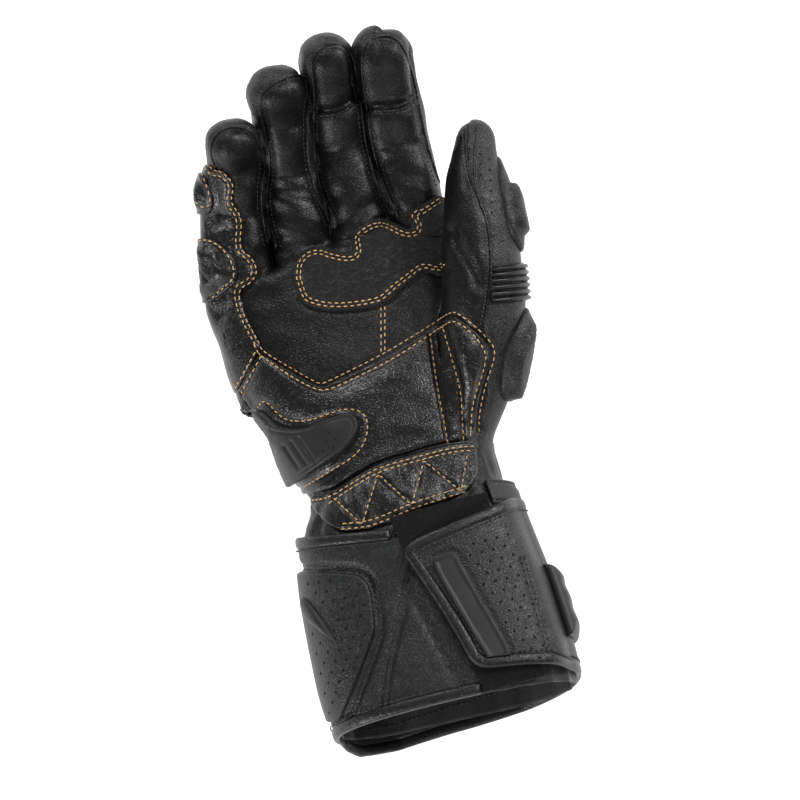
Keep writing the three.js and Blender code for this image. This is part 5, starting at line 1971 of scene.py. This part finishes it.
    def build_holes(self) -> None:
        """Punches the flap and the side pad."""
        flap = hole_grid(np.array(FLAP_HOLES), 4.9, 62.0, 0.9)
        pad = np.array(SIDE_PAD, float)
        pad[:, 0] = np.maximum(pad[:, 0], -58.5)
        side = hole_grid(pad, 4.7, 60.0, 3.2)
        clear = inside_distance(side, np.array(RIB_OUTLINE)) < -1.0
        dress(self.tailor.punch("cuff_perforations", np.vstack([flap, side[clear]]), 1.25), Slot.MATTE)

    def build(self) -> None:
        """Builds all the pieces of the cuff."""
        self.build_walls()
        self.build_side()
        self.build_closure()
        self.build_bindings()
        self.build_holes()


@dataclass
class Studio:
    """The pale floor, the soft lights and the camera.

    Fields: the camera's lens and sensor and the height that it looks at, in millimetres; half the floor's
    side in metres, its glow and the light from all round; each light's name, place, size and power.
    """

    lens: float = 200.0
    sensor: float = 36.0
    aim_height: float = 25.0
    half: float = 6.0
    glow: float = 0.75
    ambient: float = 0.17
    lights: tuple[tuple[str, tuple[float, float, float], float, float], ...] = (
        ("right", (1.2, 0.5, 0.95), 0.28, 12.5),
        ("key", (0.75, 0.35, 1.35), 0.5, 4.0),
        ("left", (-1.1, -0.9, 0.8), 0.34, 15.0),
        ("top", (-0.3, 1.35, 0.95), 0.28, 8.0),
        ("foot", (0.1, -1.5, 0.8), 0.5, 4.0),
    )

    def camera(self) -> None:
        """Sets the camera square to the pattern plane, turned as the photo is."""
        data = bpy.data.cameras.new("camera")
        data.lens, data.sensor_width = self.lens, self.sensor
        camera = linked("camera", data)
        distance = self.lens * FRAME_PIXELS * PIXEL / self.sensor
        aim = np.array([0.0, -self.aim_height / math.tan(VIEW_ELEVATION), self.aim_height]) - LAYOUT_MIDDLE
        place = (aim + TOWARDS_VIEW * distance) * MM
        across = np.array([1.0, 0.0, 0.0]) * math.cos(VIEW_ROLL) - PATTERN_UP * math.sin(VIEW_ROLL)
        upward = np.array([1.0, 0.0, 0.0]) * math.sin(VIEW_ROLL) + PATTERN_UP * math.cos(VIEW_ROLL)
        turn = Matrix((across, upward, TOWARDS_VIEW)).transposed().to_4x4()
        camera.matrix_world = Matrix.Translation(Vector(place)) @ turn
        data.clip_end = 20.0
        bpy.context.scene.camera = camera

    def light(self, name: str, place: tuple[float, float, float], size: float, power: float) -> None:
        """Adds a soft square light that looks at the glove."""
        data = bpy.data.lights.new(name, "AREA")
        data.energy, data.size = power, size
        lamp = linked(name, data)
        lamp.location = place
        lamp.rotation_euler = (-Vector(place)).to_track_quat("-Z", "Y").to_euler()

    def floor(self) -> None:
        """Lays the pale floor."""
        mesh = bpy.data.meshes.new("floor")
        corners = [(x * self.half, y * self.half, 0) for x, y in ((-1, -1), (1, -1), (1, 1), (-1, 1))]
        mesh.from_pydata(corners, [], [(0, 1, 2, 3)])
        material = bpy.data.materials.new("pale_floor")
        material.use_nodes = True
        surface = material.node_tree.nodes["Principled BSDF"].inputs
        for name, value in {
            "Base Color": (0.9, 0.9, 0.9, 1.0), "Roughness": 0.9, "Specular IOR Level": 0.1,
            "Emission Color": (1.0, 1.0, 1.0, 1.0), "Emission Strength": self.glow,
        }.items():
            surface[name].default_value = value
        mesh.materials.append(material)
        linked("floor", mesh)

    def build(self) -> None:
        """Sets up the whole studio."""
        self.camera()
        self.floor()
        for lamp in self.lights:
            self.light(*lamp)
        world = bpy.data.worlds.new("studio")
        world.use_nodes = True
        background = world.node_tree.nodes["Background"].inputs
        background["Color"].default_value = (1.0, 1.0, 1.0, 1.0)
        background["Strength"].default_value = self.ambient
        bpy.context.scene.world = world
        bpy.context.scene.view_settings.view_transform = "Standard"


def main() -> None:
    """Builds the studio and the glove."""
    logging.basicConfig(level=logging.INFO, format="%(message)s")
    Studio().build()
    tailor = Tailor(Wardrobe())
    Hand(tailor).build()
    Cuff(tailor).build()


if __name__ == "__main__":
    main()
